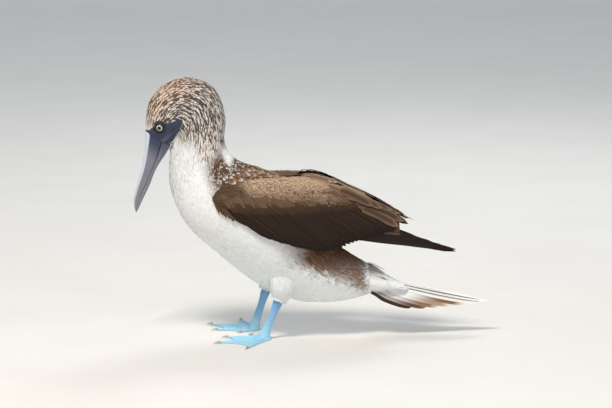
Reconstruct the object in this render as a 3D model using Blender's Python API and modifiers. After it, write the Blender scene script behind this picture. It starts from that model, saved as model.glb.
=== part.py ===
"""A blue-footed booby, life size, standing with its head bowed.

The bird faces -X, its left side is at -Y, and the floor is z = 0 under its feet. Sizes are in
millimetres, turned to metres by MM where a mesh is made. The body is one lofted form from the tail
root over the back and crown to the base of the bill, parted at flat sections into torso, neck and
head. Each wing is a core over the arm with its feathers fused to it in tiers, and the tail is a
root with its rectrices fused to it.
"""
import math

import bmesh
import bpy
import numpy as np
from mathutils import Vector

MM = 0.001
GAP = 0.3

# Body stations: back x, z, belly x, z, half width, and how far the widest line lies towards the back
BODY = np.array([
    (73.5, 99.0, 76.5, 54.5, 24.0, 0.00),
    (50.0, 113.5, 52.0, 48.0, 34.0, 0.00),
    (30.0, 130.0, 28.0, 45.0, 42.0, -0.05),
    (9.0, 168.0, 0.0, 45.0, 50.0, -0.05),
    (-14.0, 206.0, -26.0, 49.0, 56.0, 0.00),
    (-65.0, 228.5, -80.0, 75.0, 61.5, 0.05),
    (-97.0, 239.5, -137.5, 121.5, 56.5, 0.05),
    (-113.0, 253.5, -172.5, 156.5, 44.0, 0.00),
    (-118.5, 271.5, -192.0, 202.0, 33.5, 0.00),
    (-117.0, 299.0, -193.8, 239.0, 30.0, 0.00),
    (-127.0, 333.0, -192.4, 255.0, 28.5, 0.05),
    (-147.5, 350.5, -191.2, 260.0, 28.0, 0.10),
    (-174.0, 355.0, -190.6, 262.4, 27.0, 0.10),
    (-201.5, 344.5, -190.4, 263.5, 25.0, 0.05),
    (-220.0, 322.0, -190.5, 263.8, 22.0, 0.00),
    (-225.0, 299.5, -191.2, 263.0, 17.5, 0.00),
    (-225.3, 281.7, -192.0, 261.7, 12.5, 0.00),
])
NECK_BASE, HEAD_BASE, BILL_BASE = 7.35, 10.35, 16.0
TORSO_STATIONS = np.linspace(0.0, NECK_BASE, 20)
NECK_STATIONS = np.linspace(NECK_BASE, HEAD_BASE, 8)
HEAD_STATIONS = np.linspace(HEAD_BASE, BILL_BASE, 17)
BODY_SIDES = 24

# Bill: culmen, mouth line and lower edge, each x, z, with the half width at the mouth line
BILL = np.array([
    (-225.3, 281.7, -203.8, 268.7, -192.0, 261.7, 12.0),
    (-226.0, 268.0, -208.5, 253.5, -198.5, 250.5, 10.4),
    (-227.2, 254.0, -212.8, 241.0, -206.0, 239.5, 8.8),
    (-229.4, 238.0, -218.4, 227.5, -213.5, 226.0, 7.4),
    (-232.8, 224.0, -224.2, 213.5, -219.0, 211.5, 6.2),
    (-238.0, 205.0, -231.2, 198.5, -226.0, 196.5, 4.9),
    (-241.4, 190.0, -236.0, 186.0, -232.0, 184.0, 3.6),
    (-241.4, 179.5, -238.0, 177.2, -235.9, 175.8, 2.2),
    (-239.6, 172.0, -239.0, 171.6, -238.5, 171.2, 0.9),
])
BILL_SIDES = 14
MOUTH_CORNER = (-181.5, 292.5)
MOUTH_MIDWAY = (-195.5, 277.0)
MOUTH_GROOVE = 1.2

# Eyes
EYE_CENTRE = (-204.8, 15.8, 290.2)
EYE_RADIUS = 7.4
EYE_AIM = (-0.34, 0.91, -0.22)
LID_RING = 5.9
LID_THICK = 1.25

# Wing reference surface: x, top z, bottom z, top distance from the middle, bottom distance
WING = np.array([
    (-137.0, 201.0, 191.0, 50.0, 53.0),
    (-123.0, 210.0, 175.0, 44.0, 59.0),
    (-101.0, 214.0, 161.0, 38.0, 64.0),
    (-71.0, 217.5, 147.0, 34.0, 66.5),
    (-39.0, 218.5, 139.0, 28.0, 67.0),
    (-18.0, 219.0, 133.0, 23.0, 65.5),
    (4.0, 218.0, 129.5, 17.5, 62.0),
    (23.0, 211.5, 128.5, 14.0, 57.0),
    (50.0, 199.0, 133.0, 12.0, 49.0),
    (78.0, 185.0, 137.0, 11.0, 40.0),
    (105.0, 170.5, 135.5, 10.0, 31.0),
    (126.0, 156.5, 132.0, 9.5, 24.0),
    (196.0, 122.0, 114.0, 9.0, 11.0),
])
# Arm core: x, first and last angle round the wing in degrees, outer rise, inner depth
ARM = np.array([
    (-137.5, 22.0, 74.0, 0.5, 3.0),
    (-134.0, 8.0, 82.0, 3.4, 10.0),
    (-124.0, 0.0, 86.0, 4.6, 16.0),
    (-101.0, -5.0, 86.0, 5.0, 18.0),
    (-71.0, -7.0, 85.0, 5.0, 18.0),
    (-39.0, -7.0, 84.0, 5.0, 17.0),
    (-18.0, -5.0, 80.0, 4.8, 14.0),
    (4.0, 0.0, 74.0, 4.6, 8.0),
    (23.0, 2.0, 66.0, 4.2, 5.0),
    (46.0, 6.0, 54.0, 3.2, 3.4),
    (62.0, 14.0, 40.0, 0.8, 1.0),
])
# The line of the secondaries' tips, x, z
LOWER_EDGE = np.array([
    (-62.0, 146.5),
    (-40.0, 138.0),
    (-18.0, 131.0),
    (4.0, 125.5),
    (23.0, 125.0),
    (39.0, 130.0),
    (55.0, 135.0),
    (71.0, 138.5),
    (87.0, 142.0),
    (100.0, 145.0),
    (112.0, 148.0),
])
# Tips of the tertials, the lowest first
TERTIAL_TIPS = np.array([(117.0, 153.0), (122.0, 159.0), (106.0, 168.0), (82.0, 176.0)])
# The core stands proud only above this angle, where the small coverts lie, and is sunk below it
PROUD_ANGLE = 52.0
VANE_THICK = 0.8
LAYER = 1.15
ROOT_DEPTH = 3.0

# Tail: top line from its root to the tip of the middle pair, and how far each outer pair is spread
TAIL_ROOT = (76.0, 81.0)
TAIL_TIP = (242.5, 43.5)
TAIL_SPREAD = 21.0
TAIL_DROP = (19.0, 62.0)
TAIL_ROUND = 0.35
TAIL_PAIRS = 7
# Root of the tail: each ring's move back and down from the torso's end, and its width and height
TAIL_STEPS = (
    (14, -3, 1.04, 0.80),
    (30, -8, 0.96, 0.52),
    (46, -12, 0.74, 0.30),
    (60, -15, 0.4, 0.14),
)
TAIL_TIP_X = (242.5, 231.0, 212.0, 192.0, 174.0, 156.0, 137.0)

# Legs: thigh top, thigh end and ankle, each x, z, and how far the foot is turned outwards
LEG_SIDE = 32.0
LEGS = {
    "left": {
        "side": -1,
        "hip": (-36.0, 104.0),
        "knee": (-46.0, 56.5),
        "ankle": (-64.5, 11.5),
        "turn": 5.0,
    },
    "right": {
        "side": 1,
        "hip": (-50.0, 108.0),
        "knee": (-59.5, 60.5),
        "ankle": (-75.0, 12.0),
        "turn": 15.0,
    },
}
SHANK_TOP = (6.6, 4.9)
SHANK_MIDDLE = (5.2, 3.8)
SHANK_FOOT = (6.2, 5.2)
# Heel below the ankle: height, half depth, half width, and how far forward
HEEL_STEPS = ((5.0, 8.6, 7.2, -2.6), (1.6, 8.8, 7.4, -3.4), (-1.0, 7.4, 6.0, -3.6))
# Toes: name, angle outwards from straight ahead, length, half width at the root
TOES = (
    ("1", -55.0, 28.0, 2.6),
    ("2", -16.0, 52.0, 3.6),
    ("3", 17.0, 69.0, 4.0),
    ("4", 60.0, 66.0, 3.8),
)
# Along a toe: share of its length, and how swollen its joints are there
TOE_SWELL = (
    (0.0, 1.0),
    (0.28, 0.86),
    (0.36, 1.0),
    (0.44, 0.84),
    (0.62, 0.78),
    (0.70, 0.88),
    (0.78, 0.72),
    (0.92, 0.66),
    (1.0, 0.5),
)
WEB_THICK = 1.5
TOE_HEIGHT = 5.4
CLAW_LENGTH = 10.0

SKIN = {
    "plumage_white": ((0.86, 0.87, 0.86), 0.85),
    "plumage_head": ((0.50, 0.40, 0.33), 0.85),
    "plumage_wing": ((0.13, 0.075, 0.045), 0.7),
    "plumage_tail": ((0.80, 0.76, 0.70), 0.75),
    "bill_horn": ((0.30, 0.32, 0.38), 0.4),
    "eye_gloss": ((0.70, 0.66, 0.35), 0.08),
    "foot_blue": ((0.25, 0.62, 0.80), 0.5),
    "claw_horn": ((0.55, 0.57, 0.55), 0.4),
}


def clear_scene():
    for old in list(bpy.data.objects):
        bpy.data.objects.remove(old, do_unlink=True)


def new_collection(name):
    made = bpy.data.collections.new(name)
    bpy.context.scene.collection.children.link(made)
    return made


def new_material(name):
    colour, roughness = SKIN[name]
    made = bpy.data.materials.new(name)
    made.use_nodes = True
    shader = made.node_tree.nodes["Principled BSDF"]
    shader.inputs["Base Color"].default_value = (*colour, 1.0)
    shader.inputs["Roughness"].default_value = roughness
    shader.inputs["Metallic"].default_value = 0.0
    return made


def spline(table, at):
    """Rows of a table read at real row numbers, on a smooth curve through every row."""
    table = np.asarray(table, float)
    at = np.clip(np.atleast_1d(np.asarray(at, float)), 0, len(table) - 1)
    slope = np.gradient(table, axis=0)
    low = np.minimum(at.astype(int), len(table) - 2)
    t = (at - low)[:, None]
    a, b, da, db = table[low], table[low + 1], slope[low], slope[low + 1]
    return (
        a * (1 + 2 * t) * (1 - t) ** 2
        + da * t * (1 - t) ** 2
        + b * t * t * (3 - 2 * t)
        + db * t * t * (t - 1)
    )


def by_x(table, x):
    """The same smooth curve, read at x, the table's first column."""
    table = np.asarray(table, float)
    return spline(table[:, 1:], np.interp(x, table[:, 0], np.arange(len(table))))


def unit(v):
    return v / np.maximum(np.linalg.norm(v, axis=-1, keepdims=True), 1e-12)


def new_object(name, points, faces, material=None):
    """A mesh object from points in millimetres."""
    mesh = bpy.data.meshes.new(name)
    mesh.from_pydata((np.asarray(points) * MM).tolist(), [], faces)
    mesh.shade_smooth()
    made = bpy.data.objects.new(name, mesh)
    if material:
        mesh.materials.append(MATERIALS[material])
    BIRD.objects.link(made)
    return made


def loft(name, rings, material=None, closed_ends=True):
    """A skin over rings of equally many points. The rings run so that its faces point outwards."""
    rings = np.asarray(rings)
    count, sides = rings.shape[:2]
    index = np.arange(count * sides).reshape(count, sides)
    turned = np.roll(index, -1, axis=1)
    walls = np.stack([index[:-1], turned[:-1], turned[1:], index[1:]], axis=-1).reshape(-1, 4)
    faces = walls.tolist()
    if closed_ends:
        faces += [index[0][::-1].tolist(), index[-1].tolist()]
    made = new_object(name, rings.reshape(-1, 3), faces, material)
    face_outwards(made)
    return made


def face_outwards(made):
    bm = bmesh.new()
    bm.from_mesh(made.data)
    bmesh.ops.recalc_face_normals(bm, faces=bm.faces)
    bm.to_mesh(made.data)
    bm.free()


def largest_shell(made):
    """Keeps the largest closed surface, tidied of needle faces."""
    bm = bmesh.new()
    bm.from_mesh(made.data)
    bmesh.ops.dissolve_degenerate(bm, edges=bm.edges, dist=2e-6)
    bmesh.ops.triangulate(bm, faces=bm.faces)
    left, shells = set(bm.faces), []
    while left:
        stack, shell = [left.pop()], []
        while stack:
            face = stack.pop()
            shell.append(face)
            near = {other for edge in face.edges for other in edge.link_faces} & left
            left -= near
            stack += near
        shells.append(shell)
    shells.sort(key=lambda shell: sum(face.calc_area() for face in shell))
    spare = [face for shell in shells[:-1] for face in shell]
    bmesh.ops.delete(bm, geom=spare, context="FACES")
    bm.to_mesh(made.data)
    bm.free()


def bake(made):
    """The evaluated mesh in place of the object's own, with its modifiers gone."""
    bpy.context.view_layer.update()
    graph = bpy.context.evaluated_depsgraph_get()
    mesh = bpy.data.meshes.new_from_object(made.evaluated_get(graph))
    made.modifiers.clear()
    made.data = mesh


def combine(made, others, operation):
    """One Boolean of the object with a collection of closed meshes, applied. The others are removed."""
    group = bpy.data.collections.new(made.name + "_pieces")
    for piece in others:
        group.objects.link(piece)
        BIRD.objects.unlink(piece)
    bpy.context.scene.collection.children.link(group)
    cut = made.modifiers.new("join", "BOOLEAN")
    cut.operation = operation
    cut.operand_type = "COLLECTION"
    cut.collection = group
    cut.solver = "EXACT"
    bake(made)
    for piece in others:
        bpy.data.objects.remove(piece, do_unlink=True)
    bpy.data.collections.remove(group)
    largest_shell(made)
    made.data.shade_smooth()


def body_rings(stations, grow=0.0):
    """Sections of the body: an egg-shaped ring about the chord from back to belly at each station."""
    count = len(stations)
    row = spline(BODY, stations)
    back = np.stack([row[:, 0], np.zeros(count), row[:, 1]], axis=-1)
    belly = np.stack([row[:, 2], np.zeros(count), row[:, 3]], axis=-1)
    middle, half = (back + belly) / 2, (back - belly) / 2
    reach = np.linalg.norm(half, axis=1)[:, None]
    turn = np.linspace(0, 2 * math.pi, BODY_SIDES, endpoint=False)
    along = np.cos(turn) + row[:, 5, None] * np.sin(turn) ** 2
    across = (row[:, 4, None] + grow) * np.sin(turn)
    rings = middle[:, None] + (half * (1 + grow / reach))[:, None] * along[:, :, None]
    rings[:, :, 1] += across
    return rings


def section_normal(station):
    """The unit normal of the flat section at a station, pointing towards the head."""
    back_x, back_z, belly_x, belly_z = spline(BODY, station)[0][:4]
    normal = np.array([belly_z - back_z, 0.0, back_x - belly_x])
    return normal / np.linalg.norm(normal)


def body_part(name, stations, material):
    """One length of the body, drawn back half a gap from each section that it shares."""
    rings = body_rings(stations)
    if stations[0] > 0:
        rings[0] += section_normal(stations[0]) * GAP / 2
    rings[-1] -= section_normal(stations[-1]) * GAP / 2
    return loft(name, rings, material)


def body_cutter(set_back=0.0):
    """The torso and neck, larger by the gap, to cut what lies on them."""
    rings = body_rings(np.concatenate([TORSO_STATIONS, NECK_STATIONS[1:-1]]), grow=GAP * 1.2)
    rings[0] -= section_normal(0.0) * set_back
    return loft("cutter", rings)


def ball(name, centre, radius, material=None, segments=16):
    bm = bmesh.new()
    bmesh.ops.create_uvsphere(bm, u_segments=segments, v_segments=segments // 2, radius=radius * MM)
    for vert in bm.verts:
        vert.co += Vector(centre) * MM
    mesh = bpy.data.meshes.new(name)
    bm.to_mesh(mesh)
    bm.free()
    mesh.shade_smooth()
    made = bpy.data.objects.new(name, mesh)
    if material:
        mesh.materials.append(MATERIALS[material])
    BIRD.objects.link(made)
    return made


def sided(point, side):
    """A point given for the right side, on the side asked for: -1 is left."""
    x, y, z = point
    return np.array([x, y * side, z])


def lid_ring(side):
    """The ring of bare skin round an eye, a torus about the line of sight."""
    aim = unit(sided(EYE_AIM, side))
    lift = math.sqrt(EYE_RADIUS**2 - LID_RING**2)
    centre = sided(EYE_CENTRE, side) + aim * (lift - 0.2)
    level = unit(np.cross(aim, (0.0, 0.0, 1.0)))
    upright = np.cross(level, aim)
    around = np.linspace(0, 2 * math.pi, 16, endpoint=False)[:, None, None]
    section = np.linspace(0, 2 * math.pi, 6, endpoint=False)[None, :, None]
    outward = level * np.cos(around) + upright * np.sin(around)
    rings = centre + outward * (LID_RING + LID_THICK * np.cos(section)) + aim * LID_THICK * np.sin(section)
    rings = np.concatenate([rings, rings[:1]])
    ring = loft("lid", rings, closed_ends=False)
    bm = bmesh.new()
    bm.from_mesh(ring.data)
    bmesh.ops.remove_doubles(bm, verts=bm.verts, dist=1e-6)
    bmesh.ops.recalc_face_normals(bm, faces=bm.faces)
    bm.to_mesh(ring.data)
    bm.free()
    return ring


def mouth_groove(side):
    """A thin wedge that cuts the line of the mouth from the bill's base to its corner in the cheek."""
    start = spline(BILL, 0.0)[0]
    corners = np.array([(start[2] - 3.0, start[3] - 5.0), (start[2], start[3]), MOUTH_MIDWAY, MOUTH_CORNER])
    depth = np.array([11.0, 12.5, 16.2, 21.5])
    line = spline(np.column_stack([corners, depth]), np.linspace(0, 3, 9))
    ahead = unit(np.gradient(line[:, :2], axis=0))
    over = np.column_stack([-ahead[:, 1], np.zeros(9), ahead[:, 0]])
    centre = np.column_stack([line[:, 0], line[:, 2] * side, line[:, 1]])
    out = np.array([0.0, side * 1.0, 0.0])
    wide = MOUTH_GROOVE * np.linspace(0.7, 0.25, 9)[:, None]
    mouth_side = centre + out * 6
    rings = np.stack([centre - out * 0.6, mouth_side + over * wide, mouth_side - over * wide], axis=1)
    return loft("groove", rings)


def make_head():
    head = body_part("head", HEAD_STATIONS, "plumage_head")
    combine(head, [lid_ring(side) for side in (-1, 1)], "UNION")
    sockets = [ball("socket", sided(EYE_CENTRE, side), EYE_RADIUS + GAP) for side in (-1, 1)]
    combine(head, sockets + [mouth_groove(side) for side in (-1, 1)], "DIFFERENCE")
    return head


def make_eyes():
    for name, side in (("eye_left", -1), ("eye_right", 1)):
        ball(name, sided(EYE_CENTRE, side), EYE_RADIUS, "eye_gloss")


def make_bill():
    """Both halves, each a loft of half-round sections that starts a gap from the head's flat base."""
    start = section_normal(BILL_BASE) * GAP / 2
    at = np.array([0, 0.5, 1, 1.5, 2, 3, 4, 5, 6, 7, 8.0])
    row = spline(BILL, at)
    culmen, mouth, lower = (
        np.stack([row[:, k], np.zeros(len(at)), row[:, k + 1]], axis=-1) for k in (0, 2, 4)
    )
    turn = np.linspace(0, math.pi, BILL_SIDES)
    side = np.sign(np.cos(turn)) * np.abs(np.cos(turn)) ** 0.7
    for name, edge, width in (("bill_upper", culmen, 1.0), ("bill_lower", lower, 0.9)):
        up = edge - mouth
        clear = unit(up) * GAP / 2
        rings = (mouth + clear)[:, None] + (up - clear)[:, None] * (np.sin(turn) ** 0.8)[None, :, None]
        rings[:, :, 1] += row[:, 6, None] * width * side
        rings[0] += start
        loft(name, rings, "bill_horn")


def wing_place(x, z):
    """The angle round the wing at which its reference surface passes through x, z in side view."""
    top, bottom = by_x(WING, x)[:, :2].T
    return np.arccos(np.clip(1 - (top - z) / (top - bottom), -0.95, 1.0))


def wing_surface(x, angle):
    """Points on the reference surface, a quarter ellipse at each x from the top edge to the bottom."""
    top, bottom, near, far = by_x(WING, x).T
    y = near + (far - near) * np.sin(angle)
    z = top - (top - bottom) * (1 - np.cos(angle))
    return np.stack([np.asarray(x, float) + 0 * y, y, z], axis=-1)


def wing_frame(x, angle):
    """Points and outward normals of the reference surface."""
    step = 1e-3
    along = wing_surface(x + 1.0, angle) - wing_surface(x - 1.0, angle)
    round_it = wing_surface(x, angle + step) - wing_surface(x, angle - step)
    return wing_surface(x, angle), unit(np.cross(along, round_it))


def arm_core(side):
    """The arm and hand under their small coverts: a lens on the reference surface."""
    rings = []
    share = np.linspace(0, 1, 9)
    swell = 1 - np.abs(2 * share - 1) ** 4
    for x, first, last, rise, depth in spline(ARM, np.linspace(0, len(ARM) - 1, 14)):
        degrees = first + (last - first) * share
        front = np.clip((-105 - x) / 20, 0, 1)
        proud = np.clip((PROUD_ANGLE + 8 - degrees) / 16 + front, 0, 1)
        at, out = wing_frame(np.full(len(share), x), np.radians(degrees))
        outer = at + out * ((rise * proud - 0.6 * (1 - proud)) * swell)[:, None]
        inner = at - out * (1.2 + depth * swell)[:, None]
        rings.append(np.concatenate([outer, inner[::-1]]))
    return loft("arm", np.array(rings) * (1, side, 1), "plumage_wing")


def vane(points, normals, half_widths, tilt, thick=VANE_THICK):
    """One feather: a flat strip along points, with its width square to the normals.

    The strip is split into triangles and thickened, so that both of its faces are split alike.
    """
    along = unit(np.gradient(points, axis=0))
    across = unit(np.cross(normals, along))
    lean = across * half_widths[:, None]
    upper = points + lean + normals * (half_widths * tilt)[:, None]
    lower = points - lean - normals * (half_widths * tilt)[:, None]
    count = len(points)
    faces = []
    for k in range(count - 1):
        faces += [(k, k + count, k + count + 1), (k, k + count + 1, k + 1)]
    made = new_object("vane", np.concatenate([upper, lower]), faces)
    wall = made.modifiers.new("thickness", "SOLIDIFY")
    wall.thickness = thick * MM
    wall.offset = 0.0
    bake(made)
    face_outwards(made)
    return made


def feather_width(share, half_width, point=0.35):
    """Half width along a feather: nearly even, then rounded off over its last part to a narrow end."""
    taper = np.clip((1 - share) / point, 0, 1)
    rounded = 0.12 + 0.88 * np.sqrt(1 - (1 - taper) ** 2)
    return half_width * rounded * (0.75 + 0.25 * np.clip(share * 4, 0, 1))


def wing_vane(side, root, tip, half_width, lift, tilt=0.2, bow=0.0, count=5, point=0.35):
    """A wing feather from root to tip, each x, z in side view, bowed up by a share of its length.

    Its root is sunk ROOT_DEPTH into the core, and it comes out to its own layer further on.
    """
    share = np.linspace(0, 1, count) ** 0.9
    x = root[0] + (tip[0] - root[0]) * share
    z = root[1] + (tip[1] - root[1]) * share
    reach = math.hypot(tip[0] - root[0], tip[1] - root[1])
    z = z + bow * reach * 4 * share * (1 - share)
    at, out = wing_frame(x, wing_place(x, z))
    height = lift - (lift + ROOT_DEPTH) * (1 - np.clip(share / 0.35, 0, 1)) ** 1.5
    points = at + out * height[:, None]
    made_points, made_normals = points * (1, side, 1), out * (1, side, 1)
    return vane(made_points, made_normals, feather_width(share, half_width, point), tilt * side)


def between(first, last, count, draw, uneven=1.0):
    """Points in steps from first to last, as rows, each a little off its even place."""
    return np.linspace(first, last, count) + draw.uniform(-uneven, uneven, (count, 2))


def wing_feathers(side):
    """Every feather of one wing: primaries, secondaries, tertials, coverts and scapulars.

    The right wing is folded a little lower at its tip, and its tertials lie further back.
    """
    draw = np.random.default_rng(40 + side)
    fold = np.array([18.0, -5.0]) if side > 0 else np.zeros(2)
    made = []
    tips = between((197.0, 116.0), (132.0, 140.5), 6, draw, 0.5) + fold * (0, 1)
    roots = between((2.0, 158.0), (34.0, 170.0), 6, draw, 0.5)
    for k, (root, tip) in enumerate(zip(roots, tips)):
        made.append(wing_vane(side, root, tip, 6.5, LAYER * (k - 5.0) - 1.0, 0.0, -0.012, 6, 0.6))
    low = spline(LOWER_EDGE, np.linspace(0, len(LOWER_EDGE) - 1, 12))
    roots = between((-96.0, 182.0), (66.0, 186.0), 12, draw)
    for root, tip in zip(roots, low + draw.uniform(-1, 1, low.shape)):
        made.append(wing_vane(side, root, tip, 9.0, 2.0, 0.2, 0.02))
    tips = TERTIAL_TIPS + fold
    roots = between((42.0, 188.0), (22.0, 203.0), 4, draw)
    for k, (root, tip) in enumerate(zip(roots, tips)):
        made.append(wing_vane(side, root, tip, 8.5, 3.6 + LAYER * k, 0.1, 0.03))
    roots = between((-108.0, 198.0), (44.0, 200.0), 12, draw)
    tips = between((-84.0, 172.0), (76.0, 177.0), 12, draw)
    for root, tip in zip(roots, tips):
        made.append(wing_vane(side, root, tip, 9.0, 4.6, 0.2))
    roots = between((-92.0, 212.0), (0.0, 216.0), 7, draw)
    tips = between((-62.0, 208.0), (56.0, 196.0), 7, draw)
    for root, tip in zip(roots, tips):
        made.append(wing_vane(side, root, tip, 9.0, 5.2, 0.12))
    return made


def make_wings():
    for name, side in (("wing_left", -1), ("wing_right", 1)):
        wing = arm_core(side)
        wing.name = name
        combine(wing, wing_feathers(side), "UNION")
        combine(wing, [body_cutter()], "DIFFERENCE")


def tail_surface(x, spread):
    """Points on the tail, a tent about its top line. Spread is 0 in the middle and 1 or -1 outside."""
    share = (x - TAIL_ROOT[0]) / (TAIL_TIP[0] - TAIL_ROOT[0])
    top = TAIL_ROOT[1] + (TAIL_TIP[1] - TAIL_ROOT[1]) * share
    y = spread * TAIL_SPREAD * (1 + 0.4 * share)
    drop = TAIL_DROP[0] + (TAIL_DROP[1] - TAIL_DROP[0]) * share
    z = top - drop * (np.hypot(spread, TAIL_ROUND) - TAIL_ROUND)
    return np.stack([x + 0 * y, y, z], axis=-1)


def tail_frame(x, spread):
    """Points and outward normals of the tail surface."""
    over = tail_surface(x, spread + 1e-3) - tail_surface(x, spread - 1e-3)
    along = tail_surface(x + 1.0, spread) - tail_surface(x - 1.0, spread)
    return tail_surface(x, spread), unit(np.cross(along, over))


def tail_vane(pair, side):
    """One rectrix. The middle pair lies on top, and each pair outwards lies under the one before."""
    tip = TAIL_TIP_X[pair]
    root = TAIL_ROOT[0] + 6.0
    share = np.linspace(0, 1, 7) ** 0.9
    x = root + (tip - root) * share
    spread = side * (0.06 + 0.92 * pair / (TAIL_PAIRS - 1)) + 0 * x
    at, out = tail_frame(x, spread)
    inset = LAYER * (pair + (0.5 if side > 0 else 0.0))
    return vane(at - out * inset, out, feather_width(share, 7.5, 0.5), 0.0)


def tail_core():
    """The root of the tail under its coverts, from a gap behind the torso."""
    first = body_rings([0.0])[0] - section_normal(0.0) * GAP
    centre = first.mean(axis=0)
    rings = [first]
    for move_x, move_z, wide, high in TAIL_STEPS:
        rings.append(centre + (first - centre) * (1, wide, high) + (move_x, 0, move_z))
    return loft("tail", rings, "plumage_tail")


def make_tail():
    """The root of the tail with its feathers fused to it, cut clear of the torso."""
    tail = tail_core()
    feathers = [tail_vane(pair, side) for pair in range(TAIL_PAIRS) for side in (-1, 1)]
    combine(tail, feathers, "UNION")
    combine(tail, [body_cutter(GAP)], "DIFFERENCE")


def ellipse_ring(centre, axis, fore, wide, sides=14):
    """An ellipse square to an axis that lies in the x, z plane: fore half depth, wide half width."""
    axis = unit(np.asarray(axis, float))
    ahead = np.cross(axis, (0.0, 1.0, 0.0))
    turn = np.linspace(0, 2 * math.pi, sides, endpoint=False)[:, None]
    return np.asarray(centre) + ahead * fore * np.cos(turn) + np.array([0.0, wide, 0.0]) * np.sin(turn)


def leg_points(leg):
    side = leg["side"] * LEG_SIDE
    return [np.array([leg[k][0], side, leg[k][1]]) for k in ("hip", "knee", "ankle")]


def heel_point(leg):
    """The point on the floor under the ankle."""
    return np.array([leg["ankle"][0], leg["side"] * LEG_SIDE, 0.0])


def make_thigh(name, leg):
    """The feathered thigh, from inside the belly down to a flat end round the leg."""
    hip, knee, ankle = leg_points(leg)
    down = unit(ankle - knee)
    fall = unit(knee - hip)
    rings = [ellipse_ring(hip, fall, 22, 15, 18)]
    for share, fore, wide in ((0.45, 20.0, 15.0), (0.75, 14.5, 12.5), (0.92, 10.5, 9.5)):
        rings.append(ellipse_ring(hip + (knee - hip) * share, fall + (down - fall) * share, fore, wide, 18))
    rings.append(ellipse_ring(knee - down * GAP / 2, down, 8.2, 7.2, 18))
    thigh = loft(name, rings, "plumage_white")
    combine(thigh, [body_cutter()], "DIFFERENCE")


def make_shank(name, leg):
    """The bare shank, deeper than wide, from the end of the thigh to the ankle."""
    _, knee, ankle = leg_points(leg)
    down = unit(ankle - knee)
    reach = np.linalg.norm(ankle - knee)
    rings = []
    steps = (
        (0.0, SHANK_TOP),
        (0.15, SHANK_TOP),
        (0.4, SHANK_MIDDLE),
        (0.75, SHANK_MIDDLE),
        (1.0, SHANK_FOOT),
    )
    for share, (fore, wide) in steps:
        rings.append(ellipse_ring(knee + down * reach * share, down, fore, wide))
    rings[0] += down * GAP / 2
    rings[-1] -= down * GAP / 2
    loft(name, rings, "foot_blue")


def toe_way(angle, side):
    """Straight ahead is -X, and outwards is the side's own."""
    turn = math.radians(angle)
    return np.array([-math.cos(turn), side * math.sin(turn), 0.0])


def web_outline(heel, leg):
    """The rim of the web from the first toe to the fourth, hollowed a little between the toes."""
    side = leg["side"]
    ways = [toe_way(angle + leg["turn"], side) * length for _, angle, length, _ in TOES]
    rim = [heel + np.array([6.0, side * -3.0, 0.0])]
    for k, way in enumerate(ways):
        rim.append(heel + way * 0.96)
        if k < len(ways) - 1:
            for mix in (0.2, 0.4, 0.6, 0.8):
                hollow = 0.96 - 0.16 * math.sin(math.pi * mix) ** 0.7
                rim.append(heel + (way * (1 - mix) + ways[k + 1] * mix) * hollow)
    rim.append(heel + np.array([7.0, side * 4.0, 0.0]))
    return np.array(rim)


def toe_ridge(heel, way, length, wide):
    """A toe: a rounded ridge that narrows and sinks a little towards its flat end."""
    turn = np.linspace(0, 2 * math.pi, 10, endpoint=False)[:, None]
    square = np.array([-way[1], way[0], 0.0])
    rings = []
    for share, swell in TOE_SWELL:
        broad = wide * swell
        tall = (TOE_HEIGHT - 0.4) * (0.55 + 0.45 * swell) * (1 - 0.3 * share)
        centre = heel + way * length * share
        rings.append(centre + square * broad * np.sin(turn) + np.array([0.0, 0.0, tall]) * np.cos(turn))
    return loft("toe", rings)


def make_foot(name, leg):
    """The webbed foot: a sheet of web, four toes and the ankle fused together and cut flat below."""
    _, knee, ankle = leg_points(leg)
    side = leg["side"]
    heel = heel_point(leg)
    rim = web_outline(heel, leg)
    web = loft(name, [rim - (0, 0, 1.5), rim + (0, 0, WEB_THICK)], "foot_blue")
    pieces = []
    for _, angle, length, wide in TOES:
        pieces.append(toe_ridge(heel, toe_way(angle + leg["turn"], side), length, wide))
    down = unit(ankle - knee)
    joint = [ellipse_ring(ankle + down * GAP / 2, down, *SHANK_FOOT)]
    joint.append(ellipse_ring(ankle + down * 2.2, unit(down + (0, 0, -0.5)), 7.4, 6.0))
    for z, fore, wide, shift in HEEL_STEPS:
        joint.append(ellipse_ring(heel + (shift, 0, z), (0, 0, -1), fore, wide))
    combine(web, pieces + [loft("ankle", joint)], "UNION")
    below = np.array([(-120.0, -120.0, 0.0), (120.0, -120.0, 0.0), (120.0, 120.0, 0.0), (-120.0, 120.0, 0.0)])
    combine(web, [loft("floor", [heel + below - (0, 0, 9), heel + below])], "DIFFERENCE")


def make_claws(leg_name, leg):
    """A curved claw at the end of each toe, a gap in front of its flat end."""
    heel = heel_point(leg)
    turn = np.linspace(0, 2 * math.pi, 8, endpoint=False)[:, None]
    for toe, angle, length, _ in TOES:
        way = toe_way(angle + leg["turn"], leg["side"])
        square = np.array([-way[1], way[0], 0.0])
        reach = CLAW_LENGTH * (0.75 if toe == "1" else 1.0)
        rings = []
        for share in (0.0, 0.3, 0.6, 0.85, 1.0):
            thin = (1 - share) ** 0.8 + 0.12
            centre = heel + way * (length + GAP + reach * share)
            centre[2] = 0.35 + 1.9 * thin + 0.5 * math.sin(math.pi * share)
            tall, broad = np.array([0, 0, 1.75 * thin]), square * 1.5 * thin
            rings.append(centre + tall * np.cos(turn) + broad * np.sin(turn))
        loft(f"claw_{leg_name}_{toe}", rings, "claw_horn")


def make_legs():
    for leg_name, leg in LEGS.items():
        make_thigh("thigh_" + leg_name, leg)
        make_shank("shank_" + leg_name, leg)
        make_foot("foot_" + leg_name, leg)
        make_claws(leg_name, leg)


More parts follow.
